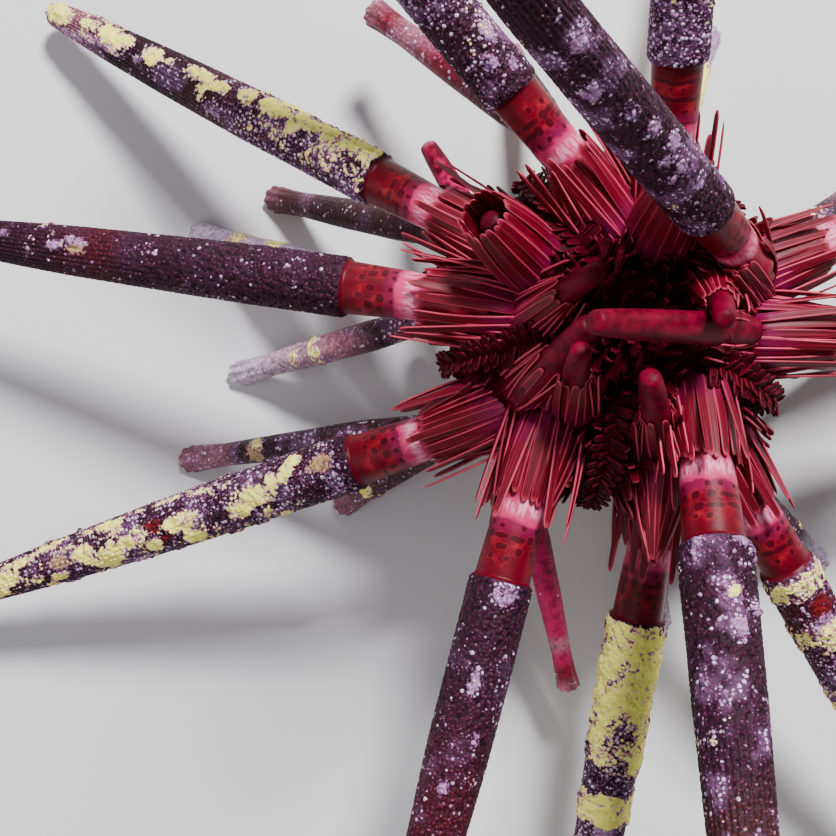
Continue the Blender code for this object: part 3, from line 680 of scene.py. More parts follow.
def add_spine(heap, spine, look, box):
    """Build one primary spine with its markings into a heap."""
    seed = spine.seed
    along, rounding = stations_of(spine)
    rows, around = (LARGE_ROWS, LARGE_AROUND) if spine.large else (SMALL_ROWS, SMALL_AROUND)
    if spine.young:
        around = YOUNG_AROUND
    grid_along, turn = np.meshgrid(along, np.arange(around) * TURN / around, indexing="ij")
    radius = thickness_of(spine, along, rounding)[:, None] * np.ones(around)
    across, beside = frame_round(spine.heading)
    local = np.stack([radius * np.cos(turn), radius * np.sin(turn), grid_along], -1)

    start = SHAFT_START if spine.large else 0.12 * spine.length
    on_shaft = smooth_step(start, start + 0.4 * MM, grid_along)
    near_tip = smooth_step(spine.length - rounding, spine.length, grid_along)
    grain = grain_of(grid_along, turn, rows, seed, (grid_along - start) / (spine.length - start))
    coarse = on_shaft * look.grain
    # Depth between the beads, which the material paints as shade
    hollow_shade = (1 - grain) * coarse
    grain = grain * coarse * (1 - near_tip)
    cover = markings(spine, look, grid_along, local, turn, across, beside)
    cover = {kind: found * on_shaft - (1 - on_shaft) for kind, found in cover.items()}
    raised = smooth_step(-0.04, 0.14, np.maximum(cover["crust"], cover["pale"] - 0.25))

    cluster = layered_noise(local, seed, (1, 2.4, 21), (0.5, 0.9, 22))
    speck = np.interp(grid_along / MM, *zip(*look.speck)) * np.clip(1 + 0.8 * cluster, 0.1, 1.6)
    clump = smooth_step(0.1, 0.62, cluster) * look.blotch * on_shaft
    speck = np.clip(speck + clump, 0, 0.96) * on_shaft

    size = spine.radius / (2.4 * MM)
    radius = radius + RIDGE_HEIGHT * grain * (1 - 0.55 * raised) * size
    lumps = 0.7 + layered_noise(local, seed, (0.5, 0.8, 31), (0.5, 0.36, 32))
    radius = radius + CRUST_HEIGHT * raised * np.maximum(lumps, 0.1) * size
    radius = radius * (1 + layered_noise(local, seed, (0.022, 7, 41)) * on_shaft)
    if not spine.large and not spine.young:
        crown = smooth_step(0.8, 1, grid_along / spine.length)
        radius = radius * (1 + CROWN_DEPTH * crown * np.cos(CROWN_RIDGES * turn + seed))

    offsets = (np.cos(turn)[..., None] * np.array(across)
               + np.sin(turn)[..., None] * np.array(beside)) * radius[..., None]
    reach = grid_along
    if spine.stands:
        full = (spine.root.z + offsets[-1, :, 2]) / -spine.heading.z
        last = spine.length - 1.5 * MM
        push = np.clip((grid_along - last) / (along[-1] - last), 0, 1)
        reach = grid_along + push * (full - along[-1])[None, :]
    points = np.array(spine.root) + offsets + reach[..., None] * np.array(spine.heading)
    ends = np.stack([np.array(spine.root) + along[0] * np.array(spine.heading), points[-1].mean(0)])
    for part in (points, ends):
        part[..., 2] = np.maximum(part[..., 2], 0)

    values = {"ground": ramp_of(grid_along / MM, look.ground), "speck": speck, "clump": clump,
              "hollow_shade": hollow_shade, "coarse": coarse, "shaft": on_shaft,
              "local": local / MM + seed * 3.7, **cover}
    if spine.large:
        values["marks"] = spots_of(spine, look, grid_along, turn)
        values["collar"] = grid_along / MM
    values = {name: (found, found[0, 0], found[-1, 0]) for name, found in values.items()}
    heap.add_tube(points, ends, (along - along[0]) / (along[-1] - along[0]), box, values)


# Flat spines

# Points round a flat spine: share of its half width and of its half thickness
SECTION = ((0.4, 0.7), (0.84, 1), (1, 0), (0.84, -1), (0.4, -0.7), (-0.4, -0.7),
           (-0.84, -1), (-1, 0), (-0.84, 1), (-0.4, 0.7))
BLADE_WIDTHS = ((0, 0.9), (0.18, 1), (0.45, 0.96), (0.75, 0.84), (0.92, 0.74), (0.97, 0.62),
                (1, 0.34))
BLADE_THICKNESS = ((0, 1), (0.3, 1), (0.7, 0.9), (0.95, 0.8), (1, 0.45))
BLADE_STATIONS = (0, 0.16, 0.34, 0.52, 0.7, 0.85, 0.94, 0.98, 1)
PATCH = 0.003
BLADE_THICK = 0.21 * MM


@dataclass
class Blade:
    """One flat spine from a foot on the test to a tip. Its broad side faces the bulge."""
    foot: Vector
    tip: Vector
    bulge: Vector
    width: float
    thickness: float
    shade: float


def add_blade(heap, blade):
    """Build one flat spine into a heap."""
    axis = (blade.tip - blade.foot).normalized()
    side = axis.cross(blade.bulge)
    if side.length < 1e-6:
        side = axis.orthogonal()
    side = np.array(side.normalized())
    start = np.array(blade.foot - normal_at(blade.foot) * 0.5 * MM)
    end = np.array(blade.tip)
    middle = 0.5 * (start + end) + np.array(blade.bulge)
    share = np.array(BLADE_STATIONS)
    column = share[:, None]
    centre = (1 - column) ** 2 * start + 2 * column * (1 - column) * middle + column ** 2 * end
    run = 2 * (1 - column) * (middle - start) + 2 * column * (end - middle)
    run /= np.linalg.norm(run, axis=1)[:, None]
    face = np.cross(side, run)
    wide = np.interp(column, *zip(*BLADE_WIDTHS)) * 0.5 * blade.width
    thick = np.interp(column, *zip(*BLADE_THICKNESS)) * 0.5 * blade.thickness
    flat, upright = np.array(SECTION).T
    points = (centre[:, None, :] + (upright * thick)[..., None] * face[:, None, :]
              + (flat * wide)[..., None] * side)
    ends = np.stack([centre[0], centre[-1] + run[-1] * 0.1 * blade.width])
    aside = np.broadcast_to(flat, points.shape[:2])
    reach = np.broadcast_to(column, points.shape[:2])
    left = azimuth_of(blade.foot) / 360 * (1 - PATCH)
    bottom = polar_of(onto_test(blade.foot)) / 180 * (1 - PATCH)
    shade = np.full(aside.shape, blade.shade)
    heap.add_tube(points, ends, share, (left, bottom, PATCH, PATCH),
                  {"aside": (aside, 0, 0), "reach": (reach, 0, 1),
                   "shade": (shade, blade.shade, blade.shade)})


def clear_of(point, spines, own, room):
    """Whether a foot keeps its distance from the base of every spine but its own."""
    return all(spine is own or (point - spine.root).length > spine.radius + room for spine in spines)


@dataclass
class Ring:
    """A ring of flat spines round a primary. Sizes are in millimetres.

    Ring is how far out their feet stand, reach how far up the primary the tips come, stand
    how far off it they are, and bulge how far each one bows out. Stray is how unevenly they
    stand, as a share of their spacing, and spread how wide the ring is at its tips, as a
    share of the primary's width.
    """
    count: int
    ring: float
    reach: tuple
    width: float
    stand: tuple = (0, 0.12)
    stray: float = 0.07
    spread: float = 1
    bulge: tuple = (0.1, 0.3)


LARGE_RINGS = (Ring(27, 3.7, (4.8, 5.6), 0.98),
               Ring(10, 4.1, (5.8, 8), 0.9, (0.8, 2.1), 0.35, 1, (0, 0.25)))
SMALL_RINGS = (Ring(17, 2.4, (4.3, 5.2), 0.95),
               Ring(3, 3, (4.6, 6), 0.9, (0.3, 1), 0.35, 1, (0.1, 0.3)))
LOW_RINGS = (Ring(15, 2.3, (4, 4.7), 1),)
CUP_RINGS = (Ring(20, 3, (7.5, 8.3), 1.05, (0, 0.2), 0.12, 1.65, (0.5, 0.8)),)
BUD_RINGS = (Ring(18, 2.7, (6.4, 7.2), 1, (0, 0.25), 0.15, 0.12, (0.5, 0.8)),
             Ring(10, 2.1, (6.9, 7.5), 0.95, (0, 0.15), 0.15, 0.05, (0.5, 0.8)))
# Small spines of the peristome: distance from the mouth, number and length
MOUTH_BLADE_RINGS = ((5.8, 44, 2), (4.9, 34, 1.6), (4, 26, 1.3), (3.2, 20, 1))
# How near feet may come to another primary, how feet draw in where that is crowded, where a
# primary swells near its base, and how high tips stay above the test
CROWDED = 0.3 * MM
CLOSER = (1, 0.88, 0.76)
SWELLING = 1.8
LOWEST_TIP = 1.2 * MM

# Small spines between the fans
FILL_COUNT = 2200
FILL_TURN = 137.508
FILL_CLEAR = 1.5 * MM

# Small spines of the apical disc: distance from the middle, number and length
APICAL_RINGS = ((1.3, 6, 1.5), (2.4, 10, 1.8), (3.5, 14, 1.9), (4.6, 18, 1.9), (5.6, 20, 2.1))

# Rows of an ambulacrum: share of its width off the middle, length, lean and width
AMBULACRAL_ROWS = ((0.42, 3, 2.6, 0.9), (0.24, 1.9, 1.5, 0.7))
AMBULACRAL_PAIRS = 32
AMBULACRAL_POLARS = (29, 150)


def clearing(spine, foot, tip):
    """How far a flat spine has to bulge to stay off the swelling at its primary's base."""
    starts, ends = foot - spine.root, tip - spine.root
    low, high = starts.dot(spine.heading), ends.dot(spine.heading)
    share = (SWELLING * MM - low) / (high - low)
    if not 0.1 < share < 0.9:
        return 0
    off_foot = (starts - spine.heading * low).length
    off_tip = (ends - spine.heading * high).length
    wanted = 0.87 * spine.radius + 0.35 * MM
    straight = off_foot + (off_tip - off_foot) * share
    return (wanted - straight) / (2 * share * (1 - share))


def ring_blades(spine, spines, ring, chance):
    """Flat spines in a ring round a primary, leaning in to its neck."""
    normal = normal_at(spine.root)
    across = normal.orthogonal().normalized()
    beside = normal.cross(across)
    start = chance.uniform(0, 360)
    for i in range(ring.count):
        turn = math.radians(start + 360 * (i + chance.uniform(-ring.stray, ring.stray)) / ring.count)
        out = across * math.cos(turn) + beside * math.sin(turn)
        step = 0.965 if i % 2 else 1.035
        for closer in CLOSER:
            foot = onto_test(spine.root + out * ring.ring * MM * step * closer)
            if clear_of(foot, spines, spine, CROWDED):
                break
        long_way = chance.uniform(*ring.reach) * MM
        stand = chance.uniform(*ring.stand) * MM
        bulge = chance.uniform(*ring.bulge) * MM
        width = ring.width * MM * chance.uniform(0.93, 1.05)
        shade = chance.random()
        away = foot - spine.root
        away = (away - spine.heading * away.dot(spine.heading)).normalized()
        neck = spine.root + spine.heading * long_way
        tip = neck + away * (0.86 * spine.radius * ring.spread + (step - 0.84) * MM + stand)
        low = (tip - onto_test(tip)).dot(normal_at(tip))
        if low < LOWEST_TIP:
            tip += normal_at(tip) * (LOWEST_TIP - low)
        bulge = away * max(bulge, clearing(spine, foot, tip))
        yield Blade(foot, tip, bulge, width, BLADE_THICK, shade)


def ambulacrum_of(index):
    """Width in degrees from one sector's middle to the next, which an ambulacrum splits."""
    return (SECTOR_AZIMUTHS[(index + 1) % 5] - SECTOR_AZIMUTHS[index]) % 360


def sector_of(azimuth):
    """Number of the sector that holds a direction, or none in an ambulacrum."""
    for index, middle in enumerate(SECTOR_AZIMUTHS):
        span = ambulacrum_of(index)
        past = (azimuth - middle) % 360
        if past <= span:
            edge = 0.5 * (span - AMBULACRUM_WIDTH)
            if past < edge:
                return index + 1
            return None if past < edge + AMBULACRUM_WIDTH else (index + 1) % 5 + 1
    return 1


def fill_blades(spines, chance):
    """Small spines between the fans, spread evenly over the test, by sector."""
    found = {sector: [] for sector in range(1, 6)}
    for i in range(FILL_COUNT):
        polar = math.degrees(math.acos(1 - 2 * (i + 0.5) / FILL_COUNT))
        azimuth = (i * FILL_TURN) % 360
        lean = chance.uniform(-0.35, 0.35)
        twist = chance.uniform(0, 360)
        long_way = chance.uniform(1.6, 2.7) * MM
        shade = chance.uniform(-1, -0.5)
        sector = sector_of(azimuth)
        foot = on_test(azimuth, polar)
        if not (sector and APEX_POLAR < polar < MOUTH_POLAR and clear_of(foot, spines, None, FILL_CLEAR)):
            continue
        normal = normal_at(foot)
        nearest = min(spines, key=lambda spine: (spine.root - foot).length)
        towards = (nearest.root + nearest.heading * 4 * MM - foot).normalized()
        axis = (normal + towards * 0.55 + normal.orthogonal() * lean).normalized()
        found[sector].append(Blade(foot, foot + axis * long_way, level(twist) * 0.1 * MM,
                                   0.85 * MM, 0.3 * MM, shade))
    return found


def ambulacral_blades(sector, chance):
    """Two close rows of flat spines along an ambulacrum that lean over its middle."""
    middle = SECTOR_AZIMUTHS[sector - 1] + 0.5 * ambulacrum_of(sector - 1)
    first, last = AMBULACRAL_POLARS
    for aside, long_way, lean, width in AMBULACRAL_ROWS:
        for i in range(2 * AMBULACRAL_PAIRS):
            side = 1 if i % 2 else -1
            polar = first + (last - first) * i / (2 * AMBULACRAL_PAIRS - 1)
            foot = on_test(middle + side * aside * AMBULACRUM_WIDTH, polar)
            inward = level(middle - side * 90)
            swing = level(middle) * chance.uniform(-0.15, 0.15)
            axis = (normal_at(foot) + inward * lean * chance.uniform(0.75, 1.2) + swing).normalized()
            tip = foot + axis * long_way * chance.uniform(0.92, 1.05) * MM
            yield Blade(foot, tip, inward * -0.3 * MM, width * MM, 0.3 * MM, chance.random())


def apical_blades(chance):
    """Short blunt spines in rings on the apical disc."""
    for distance, count, long_way in APICAL_RINGS:
        for i in range(count):
            azimuth = 360 * (i + chance.uniform(-0.2, 0.2)) / count + 25 * distance
            foot = on_test(azimuth, math.degrees(math.asin(distance * MM / TEST_RADIUS)))
            axis = direction(azimuth + chance.uniform(-40, 40), chance.uniform(45, 85))
            tip = foot + axis * long_way * chance.uniform(0.8, 1.1) * MM
            yield Blade(foot, tip, level(azimuth) * 0.05 * MM, 0.85 * MM, 0.5 * MM, chance.random())


def mouth_blades(chance):
    """Small flat spines in rings on the peristome, leaning in over the mouth."""
    for distance, count, long_way in MOUTH_BLADE_RINGS:
        for i in range(count):
            azimuth = 360 * (i + chance.uniform(-0.25, 0.25)) / count
            foot = on_test(azimuth, 180 - math.degrees(math.asin(distance * MM / TEST_RADIUS)))
            axis = direction(azimuth + 180, -chance.uniform(25, 60))
            tip = foot + axis * long_way * chance.uniform(0.8, 1.15) * MM
            yield Blade(foot, tip, level(azimuth) * 0.1 * MM, 0.6 * MM, 0.24 * MM, chance.random())


# Skin, peristome and teeth

SKIN_AROUND = 300
SKIN_DOWN = 200
MOUTH_RINGS = 5
MOUTH_PLATES = 10
PLATE_HEIGHT = 0.5 * MM
LARGE_AREOLE = 3.3 * MM
SMALL_AREOLE = 2.3 * MM
BOSS_HEIGHT = 0.75 * MM
AREOLE_DEPTH = 0.25 * MM
GROOVE_DEPTH = 0.16 * MM
GROOVES = (-0.42, 0, 0.42)


def make_skin(spines, material):
    """One closed skin over the test: bosses and rims round the spines, grooves and mouth."""
    polar = np.linspace(0.6, 179.4, SKIN_DOWN)
    azimuth = np.arange(SKIN_AROUND) * 360 / SKIN_AROUND
    polars, azimuths = np.meshgrid(np.radians(polar), np.radians(azimuth), indexing="ij")
    flat = np.stack([TEST_RADIUS * np.sin(polars) * np.cos(azimuths),
                     TEST_RADIUS * np.sin(polars) * np.sin(azimuths),
                     TEST_HALF_HEIGHT * np.cos(polars)], -1)
    normal = flat / np.array([TEST_RADIUS ** 2, TEST_RADIUS ** 2, TEST_HALF_HEIGHT ** 2])
    normal /= np.linalg.norm(normal, axis=-1)[..., None]
    points = flat + np.array(TEST_CENTRE)
    lift = layered_noise(flat, 0, (0.07 * MM, 1.1, 5))
    areole = np.zeros(points.shape[:2])
    for spine in spines:
        size = LARGE_AREOLE if spine.large else SMALL_AREOLE
        share = np.linalg.norm(points - np.array(spine.root), axis=-1) / size
        lift += BOSS_HEIGHT * (size / LARGE_AREOLE) * (1 - smooth_step(0.15, 0.5, share))
        lift -= AREOLE_DEPTH * smooth_step(0.35, 0.6, share) * (1 - smooth_step(0.85, 1, share))
        areole = np.maximum(areole, 1 - smooth_step(0.9, 1.1, share))
    for index, start in enumerate(SECTOR_AZIMUTHS):
        middle = start + 0.5 * ambulacrum_of(index)
        for offset in GROOVES:
            turned = wrapped(azimuths - math.radians(middle + offset * AMBULACRUM_WIDTH))
            away = np.abs(turned) * TEST_RADIUS * np.sin(polars)
            lift -= GROOVE_DEPTH * (1 - smooth_step(0.1 * MM, 0.5 * MM, away)) * (1 - areole)

    out = np.hypot(flat[..., 0], flat[..., 1])
    below = flat[..., 2] < 0
    rim = TEST_RADIUS * math.sin(math.radians(MOUTH_POLAR))
    inside = below & (out < rim)
    rings = (1 - out / rim) * MOUTH_RINGS
    plates = 1 - (rings - np.floor(rings))
    wedge = np.abs(np.sin(azimuths * MOUTH_PLATES + np.floor(rings) * math.pi / 2))
    covered = smooth_step(0, 0.3, 1 - plates) * smooth_step(0, 0.4, wedge)
    lift = np.where(inside, PLATE_HEIGHT * (plates * covered - 0.5), lift)
    points = points + normal * lift[..., None]
    # Peristome share, low at the plate borders, where the material paints shade over the overlaps
    mouth = np.where(inside, 0.25 + 0.75 * covered, 0)
    ends = np.stack([points[0].mean(0), points[-1].mean(0)])
    heap = Heap()
    heap.add_tube(points, ends, polar / 180, WHOLE_MAP,
                  {"areole": (areole, 0, 0), "mouth": (mouth, 0, 1)}, inward=True)
    return heap.finish("test_skin", material)


TOOTH_AROUND = 18
TOOTH_RINGS = 16
TOOTH_TOP = TEST_CENTRE.z - TEST_HALF_HEIGHT + 1.5 * MM
TOOTH_OUT = (1.35 * MM, 0.42 * MM)
TOOTH_BOW = 0.22 * MM
# Share of the way down a tooth, with its half width and half thickness in millimetres
TOOTH_SHAPE = ((0, 0.72, 0.62), (0.3, 0.64, 0.56), (0.6, 0.52, 0.44), (0.82, 0.38, 0.28),
               (0.94, 0.25, 0.15), (1, 0.15, 0.07))


def make_teeth(material):
    """Five chisel-shaped teeth that close on one another in the mouth."""
    heap = Heap()
    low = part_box("lantern_teeth")[0].z
    share = np.linspace(0, 1, TOOTH_RINGS)
    column = share[:, None]
    at, wide, thick = zip(*TOOTH_SHAPE)
    wide = np.interp(column, at, wide) * MM
    thick = np.interp(column, at, thick) * MM
    turn = np.arange(TOOTH_AROUND) * TURN / TOOTH_AROUND
    keel = np.cos(turn) * (1 + 0.35 * np.maximum(0, -np.cos(turn)) ** 4)
    for i in range(5):
        out = np.array(level(360 * (i + 0.5) / 5))
        side = np.cross(out, (0, 0, 1))
        foot = np.array((AXIS_X, AXIS_Y, TOOTH_TOP)) + out * TOOTH_OUT[0]
        tip = np.array((AXIS_X, AXIS_Y, low)) + out * TOOTH_OUT[1]
        centre = foot + (tip - foot) * column + np.sin(column * math.pi) * out * TOOTH_BOW
        points = (centre[:, None, :] + (keel * thick)[..., None] * out
                  + (np.sin(turn) * wide)[..., None] * side)
        ends = np.stack([centre[0], centre[-1]])
        reach = np.broadcast_to(column, points.shape[:2])
        heap.add_tube(points, ends, share, (0.2 * i + 0.01, 0, 0.18, 1), {"reach": (reach, 0, 1)})
    return heap.finish("teeth", material)


# Materials

GRAINS_PER_MM = 2.7
DUST_PER_MM = 5.2


class Shading:
    """A material's nodes, with one short call for each kind."""

    def __init__(self, name, roughness, shine=0.5):
        self.material = bpy.data.materials.new(name)
        self.material.use_nodes = True
        self.tree = self.material.node_tree
        self.shader = self.tree.nodes["Principled BSDF"]
        self.fill(self.shader, {"Roughness": roughness, "Specular IOR Level": shine})

    def fill(self, node, sockets):
        """Set a node's sockets to values, or link other nodes' outputs to them."""
        for socket, value in sockets.items():
            if isinstance(value, bpy.types.NodeSocket):
                self.tree.links.new(value, node.inputs[socket])
            elif value is not None:
                node.inputs[socket].default_value = value

    def new(self, kind, sockets, **settings):
        """Outputs of a new node."""
        node = self.tree.nodes.new("ShaderNode" + kind)
        for name, setting in settings.items():
            setattr(node, name, setting)
        self.fill(node, sockets)
        return node.outputs

    def value(self, name):
        """Number that the mesh holds at its points."""
        return self.new("Attribute", {}, attribute_name=name)["Fac"]

    def vector(self, name):
        """Vector or colour that the mesh holds at its points."""
        return self.new("Attribute", {}, attribute_name=name)["Vector"]

    def place(self):
        """Place on the piece, in metres."""
        return self.new("TexCoord", {})["Object"]

    def join(self, operation, *values):
        """Arithmetic on two or more values, from the first to the last."""
        total = values[0]
        for value in values[1:]:
            total = self.new("Math", {0: total, 1: value}, operation=operation)[0]
        return total

    def add(self, *values):
        """Sum of values."""
        return self.join("ADD", *values)

    def times(self, *values):
        """Product of values."""
        return self.join("MULTIPLY", *values)

    def ramp(self, value, low, high, to_low=0, to_high=1):
        """Smooth passage from one number to another while a value goes from low to high."""
        sockets = dict(enumerate((value, low, high, to_low, to_high)))
        return self.new("MapRange", sockets, interpolation_type="SMOOTHSTEP")["Result"]

    def noise(self, where, scale, detail=3, rough=0.55):
        """Cloudy noise from 0 to 1."""
        sockets = {"Vector": where, "Scale": scale, "Detail": detail, "Roughness": rough}
        return self.new("TexNoise", sockets)["Fac"]

    def grains(self, where, scale):
        """Distance from the middle of the nearest grain, and three random values of its own."""
        cells = self.new("TexVoronoi", {"Vector": where, "Scale": scale})
        return cells["Distance"], *self.new("SeparateColor", {0: cells["Color"]})

    def mix(self, share, low, high):
        """Mixture of two colours."""
        return self.new("Mix", {0: share, 6: low, 7: high}, data_type="RGBA")[2]

    def blend(self, colour, other, value, low, high, to_low=0, to_high=1):
        """Mixture of two colours, with a passage of a value as the share of the other."""
        return self.mix(self.ramp(value, low, high, to_low, to_high), colour, other)

    def bump(self, height, distance, strength, after=None):
        """Normal with fine relief."""
        sockets = {"Height": height, "Distance": distance, "Strength": strength, "Normal": after}
        return self.new("Bump", sockets)["Normal"]

    def finish(self, colour, normal=None, roughness=None):
        """Fill the shader and hand over the material."""
        self.fill(self.shader, {"Base Color": colour, "Normal": normal, "Roughness": roughness})
        return self.material


def shaft_colour(paint, local, ground):
    """Colour of a shaft: dark ground with painted shade in its hollows, white grains and four kinds of
    crust and stain.
    """
    add, times, ramp, mix, blend, value = (paint.add, paint.times, paint.ramp, paint.mix, paint.blend,
                                           paint.value)
    fine = paint.noise(local, 3, 4, 0.65)
    distance, pick, tint, size = paint.grains(local, GRAINS_PER_MM)
    dust, dust_pick, dust_tint, _ = paint.grains(local, DUST_PER_MM)

    coarse = value("coarse")
    # Painted shade in the grain's hollows and at each grain's edge
    colour = blend(ground, SHADE_AND_STAIN_DARK, value("hollow_shade"), 0.35, 1, 0, 0.85)
    colour = mix(times(coarse, ramp(fine, 0.5, 0.74, 0, 0.65)), colour, FLECK)
    colour = mix(times(coarse, ramp(distance, 0.3, 0.6, 0, 0.6)), colour, SHADE_AND_STAIN_DARK)
    colour = mix(times(value("clump"), 0.5), colour, LILAC)

    crowd = paint.join("MAXIMUM", value("speck"), ramp(value("pale"), -0.45, 0.25, 0, 0.97))
    shown = ramp(paint.join("SUBTRACT", crowd, dust_pick), -0.06, 0.12)
    edge = add(dust, ramp(fine, 0.3, 0.7, -0.12, 0.12))
    lilac = times(shown, ramp(edge, 0.34, 0.52, 0.75, 0))
    colour = mix(lilac, colour, mix(dust_tint, FLECK, LILAC))
    shown = ramp(paint.join("SUBTRACT", crowd, pick), -0.02, 0.06)
    edge = add(distance, ramp(fine, 0.3, 0.7, -0.1, 0.1), ramp(size, 0, 0.9, 0.24, -0.02))
    white = times(shown, ramp(edge, 0.34, 0.52, 1, 0))
    colour = mix(white, colour, mix(tint, LILAC, PALE_LILAC))

    blotted = paint.noise(local, 1.4, 4, 0.7)
    ragged = add(ramp(fine, 0.25, 0.75, -0.2, 0.2), ramp(distance, 0.1, 0.7, 0.14, -0.24),
                 ramp(blotted, 0.25, 0.75, -0.26, 0.26))
    for kind, rim, low, high in (("tan", GREY_PINK, BROWN, TAN), ("stain", MAROON, SHADE_AND_STAIN_DARK, STAIN)):
        edge = add(value(kind), ragged)
        spread = blend(rim, blend(low, high, fine, 0.32, 0.56), edge, 0, 0.24)
        colour = blend(colour, spread, edge, -0.02, 0.1)
    pale = blend(mix(tint, GREY_PINK, PALE_LILAC), LILAC, dust, 0.15, 0.5)
    colour = blend(colour, pale, add(value("pale"), ragged), 0.1, 0.4, 0, 0.75)

    edge = add(value("crust"), ragged)
    cream = blend(CREAM_SHADE, CREAM, fine, 0.36, 0.5)
    cream = blend(cream, PALE_CREAM, blotted, 0.56, 0.68, 0, 0.7)
    rim = blend(PALE_LILAC, GREY_PINK, dust, 0.2, 0.5)
    cream = blend(rim, cream, add(edge, ramp(blotted, 0.3, 0.7, -0.14, 0.14)), 0.08, 0.26)
    hole = times(ramp(pick, 0.9, 0.94), ramp(edge, 0.55, 0.15), ramp(distance, 0.3, 0.46, 1, 0))
    on_crust = ramp(edge, -0.02, 0.03)
    return mix(on_crust, colour, mix(hole, cream, BROWN)), on_crust, distance


def spine_material():
    """Neck, collar and shaft of the primary spines, with a painted highlight in the collar's pale band."""
    paint = Shading("primary_spine", 0.7, 0.18)
    add, times, ramp, blend, value = paint.add, paint.times, paint.ramp, paint.blend, paint.value
    local = paint.vector("local")
    colour, on_crust, distance = shaft_colour(paint, local, paint.vector("ground"))

    collar = value("collar")
    patchy = paint.noise(local, 0.8, 3)
    red = blend(COLLAR_DEEP, COLLAR_RED, patchy, 0.38, 0.6)
    red = blend(red, COLLAR_LIGHT, patchy, 0.52, 0.7, 0, 0.8)
    red = blend(red, COLLAR_DEEP, collar, 10.4, 11.9)
    red = blend(red, BAND_VIOLET, collar, 8.9, 7.5, 0, 0.85)
    fine = paint.noise(local, 3.2, 4, 0.65)
    mark = add(value("marks"), ramp(fine, 0.25, 0.75, -0.16, 0.16))
    halo = times(ramp(mark, 0.05, 0.3), ramp(mark, 0.3, 0.5, 0.3, 0))
    red = paint.mix(halo, red, COLLAR_LIGHT)
    red = blend(red, COLLAR_SPOT, mark, 0.3, 0.68, 0, 0.9)
    # Pale band at the collar's base, painted all round: partly its own pink, partly a painted highlight in
    # white streaks
    wavy = add(collar, ramp(patchy, 0.3, 0.7, -0.2, 0.2))
    drawn_out = paint.new("VectorMath", {0: local, 1: (1, 1, 0.25)}, operation="MULTIPLY")[0]
    streak = ramp(paint.noise(drawn_out, 3.4, 2), 0.34, 0.66)
    ends = times(ramp(wavy, 5, 5.9), ramp(wavy, 7.1, 6.2))
    band_and_highlight = paint.mix(times(ends, streak), BAND_PINK_AND_HIGHLIGHT, BAND_WHITE_HIGHLIGHT)
    red = blend(blend(NECK_RED, band_and_highlight, wavy, 4.6, 5.5), red, wavy, 7.1, 7.5)
    shaft = value("shaft")
    colour = blend(red, colour, shaft, 0.25, 0.5)

    rough = add(ramp(shaft, 0.3, 0.6, 0.38, 0.62), ramp(on_crust, 0, 1, 0, 0.2))
    small = paint.bump(paint.noise(local, 6.5, 4, 0.7), 0.05 * MM, 0.4)
    height = times(ramp(distance, 0, 0.65, 1, 0), shaft)
    return paint.finish(colour, paint.bump(height, 0.13 * MM, 0.8, small), rough)


def small_spine_material():
    """Thin spines, with grain, white specks and crust but no collar."""
    paint = Shading("small_spine", 0.55, 0.2)
    local = paint.vector("local")
    ground = paint.blend(paint.vector("ground"), UMBER, paint.noise(local, 1.2, 3), 0.4, 0.68, 0, 0.5)
    colour, on_crust, distance = shaft_colour(paint, local, ground)
    base = paint.ramp(paint.value("shaft"), 0.2, 0.6)
    height = paint.times(paint.ramp(distance, 0, 0.65, 1, 0), base)
    return paint.finish(paint.mix(base, NECK_RED, colour), paint.bump(height, 0.07 * MM, 0.6),
                        paint.ramp(on_crust, 0, 1, 0.5, 0.75))


def young_spine_material():
    """Smooth dark red spines near the apex, with faint pink flecks."""
    paint = Shading("young_spine", 0.5, 0.1)
    local = paint.vector("local")
    colour = paint.blend(YOUNG_DARK, paint.vector("ground"), paint.noise(local, 0.8, 3), 0.35, 0.65)
    colour = paint.blend(colour, YOUNG_PINK, paint.noise(local, 3.5, 2), 0.58, 0.74, 0, 0.3)
    return paint.finish(colour, paint.bump(paint.noise(local, 4, 3), 0.05 * MM, 0.4))


def blade_material(name, foot, deep, mid, pale, shine):
    """Flat spines, tinted at the foot, with thin pale edges that are partly a painted highlight, and faint
    streaks.
    """
    paint = Shading(name, 0.46, shine)
    times, ramp, blend = paint.times, paint.ramp, paint.blend
    aside, reach, shade = (paint.value(held) for held in ("aside", "reach", "shade"))
    lengthways = paint.new("CombineXYZ", {0: times(aside, 2.6), 1: times(reach, 1.3), 2: times(shade, 60)})
    streak = paint.noise(lengthways[0], 1.6, 3)
    colour = blend(deep, mid, streak, 0.36, 0.62)
    colour = blend(colour, foot, reach, 0.1, 0.48, 0.75, 0)
    colour = blend(colour, pale, streak, 0.6, 0.78, 0, 0.35)
    # Pale rim along each blade's edges: partly its own pale edge, partly a painted highlight
    off_middle = paint.new("Math", {0: aside}, operation="ABSOLUTE")[0]
    rim = times(ramp(off_middle, 0.72, 0.88), ramp(shade, 0, 0.8, 0.35, 0.85))
    colour = paint.mix(rim, colour, pale)
    colour = blend(colour, pale, reach, 0.93, 1, 0, 0.45)
    colour = blend(colour, deep, shade, -0.9, -0.1, 0.8, 0)
    return paint.finish(colour, paint.bump(streak, 0.06 * MM, 0.6))


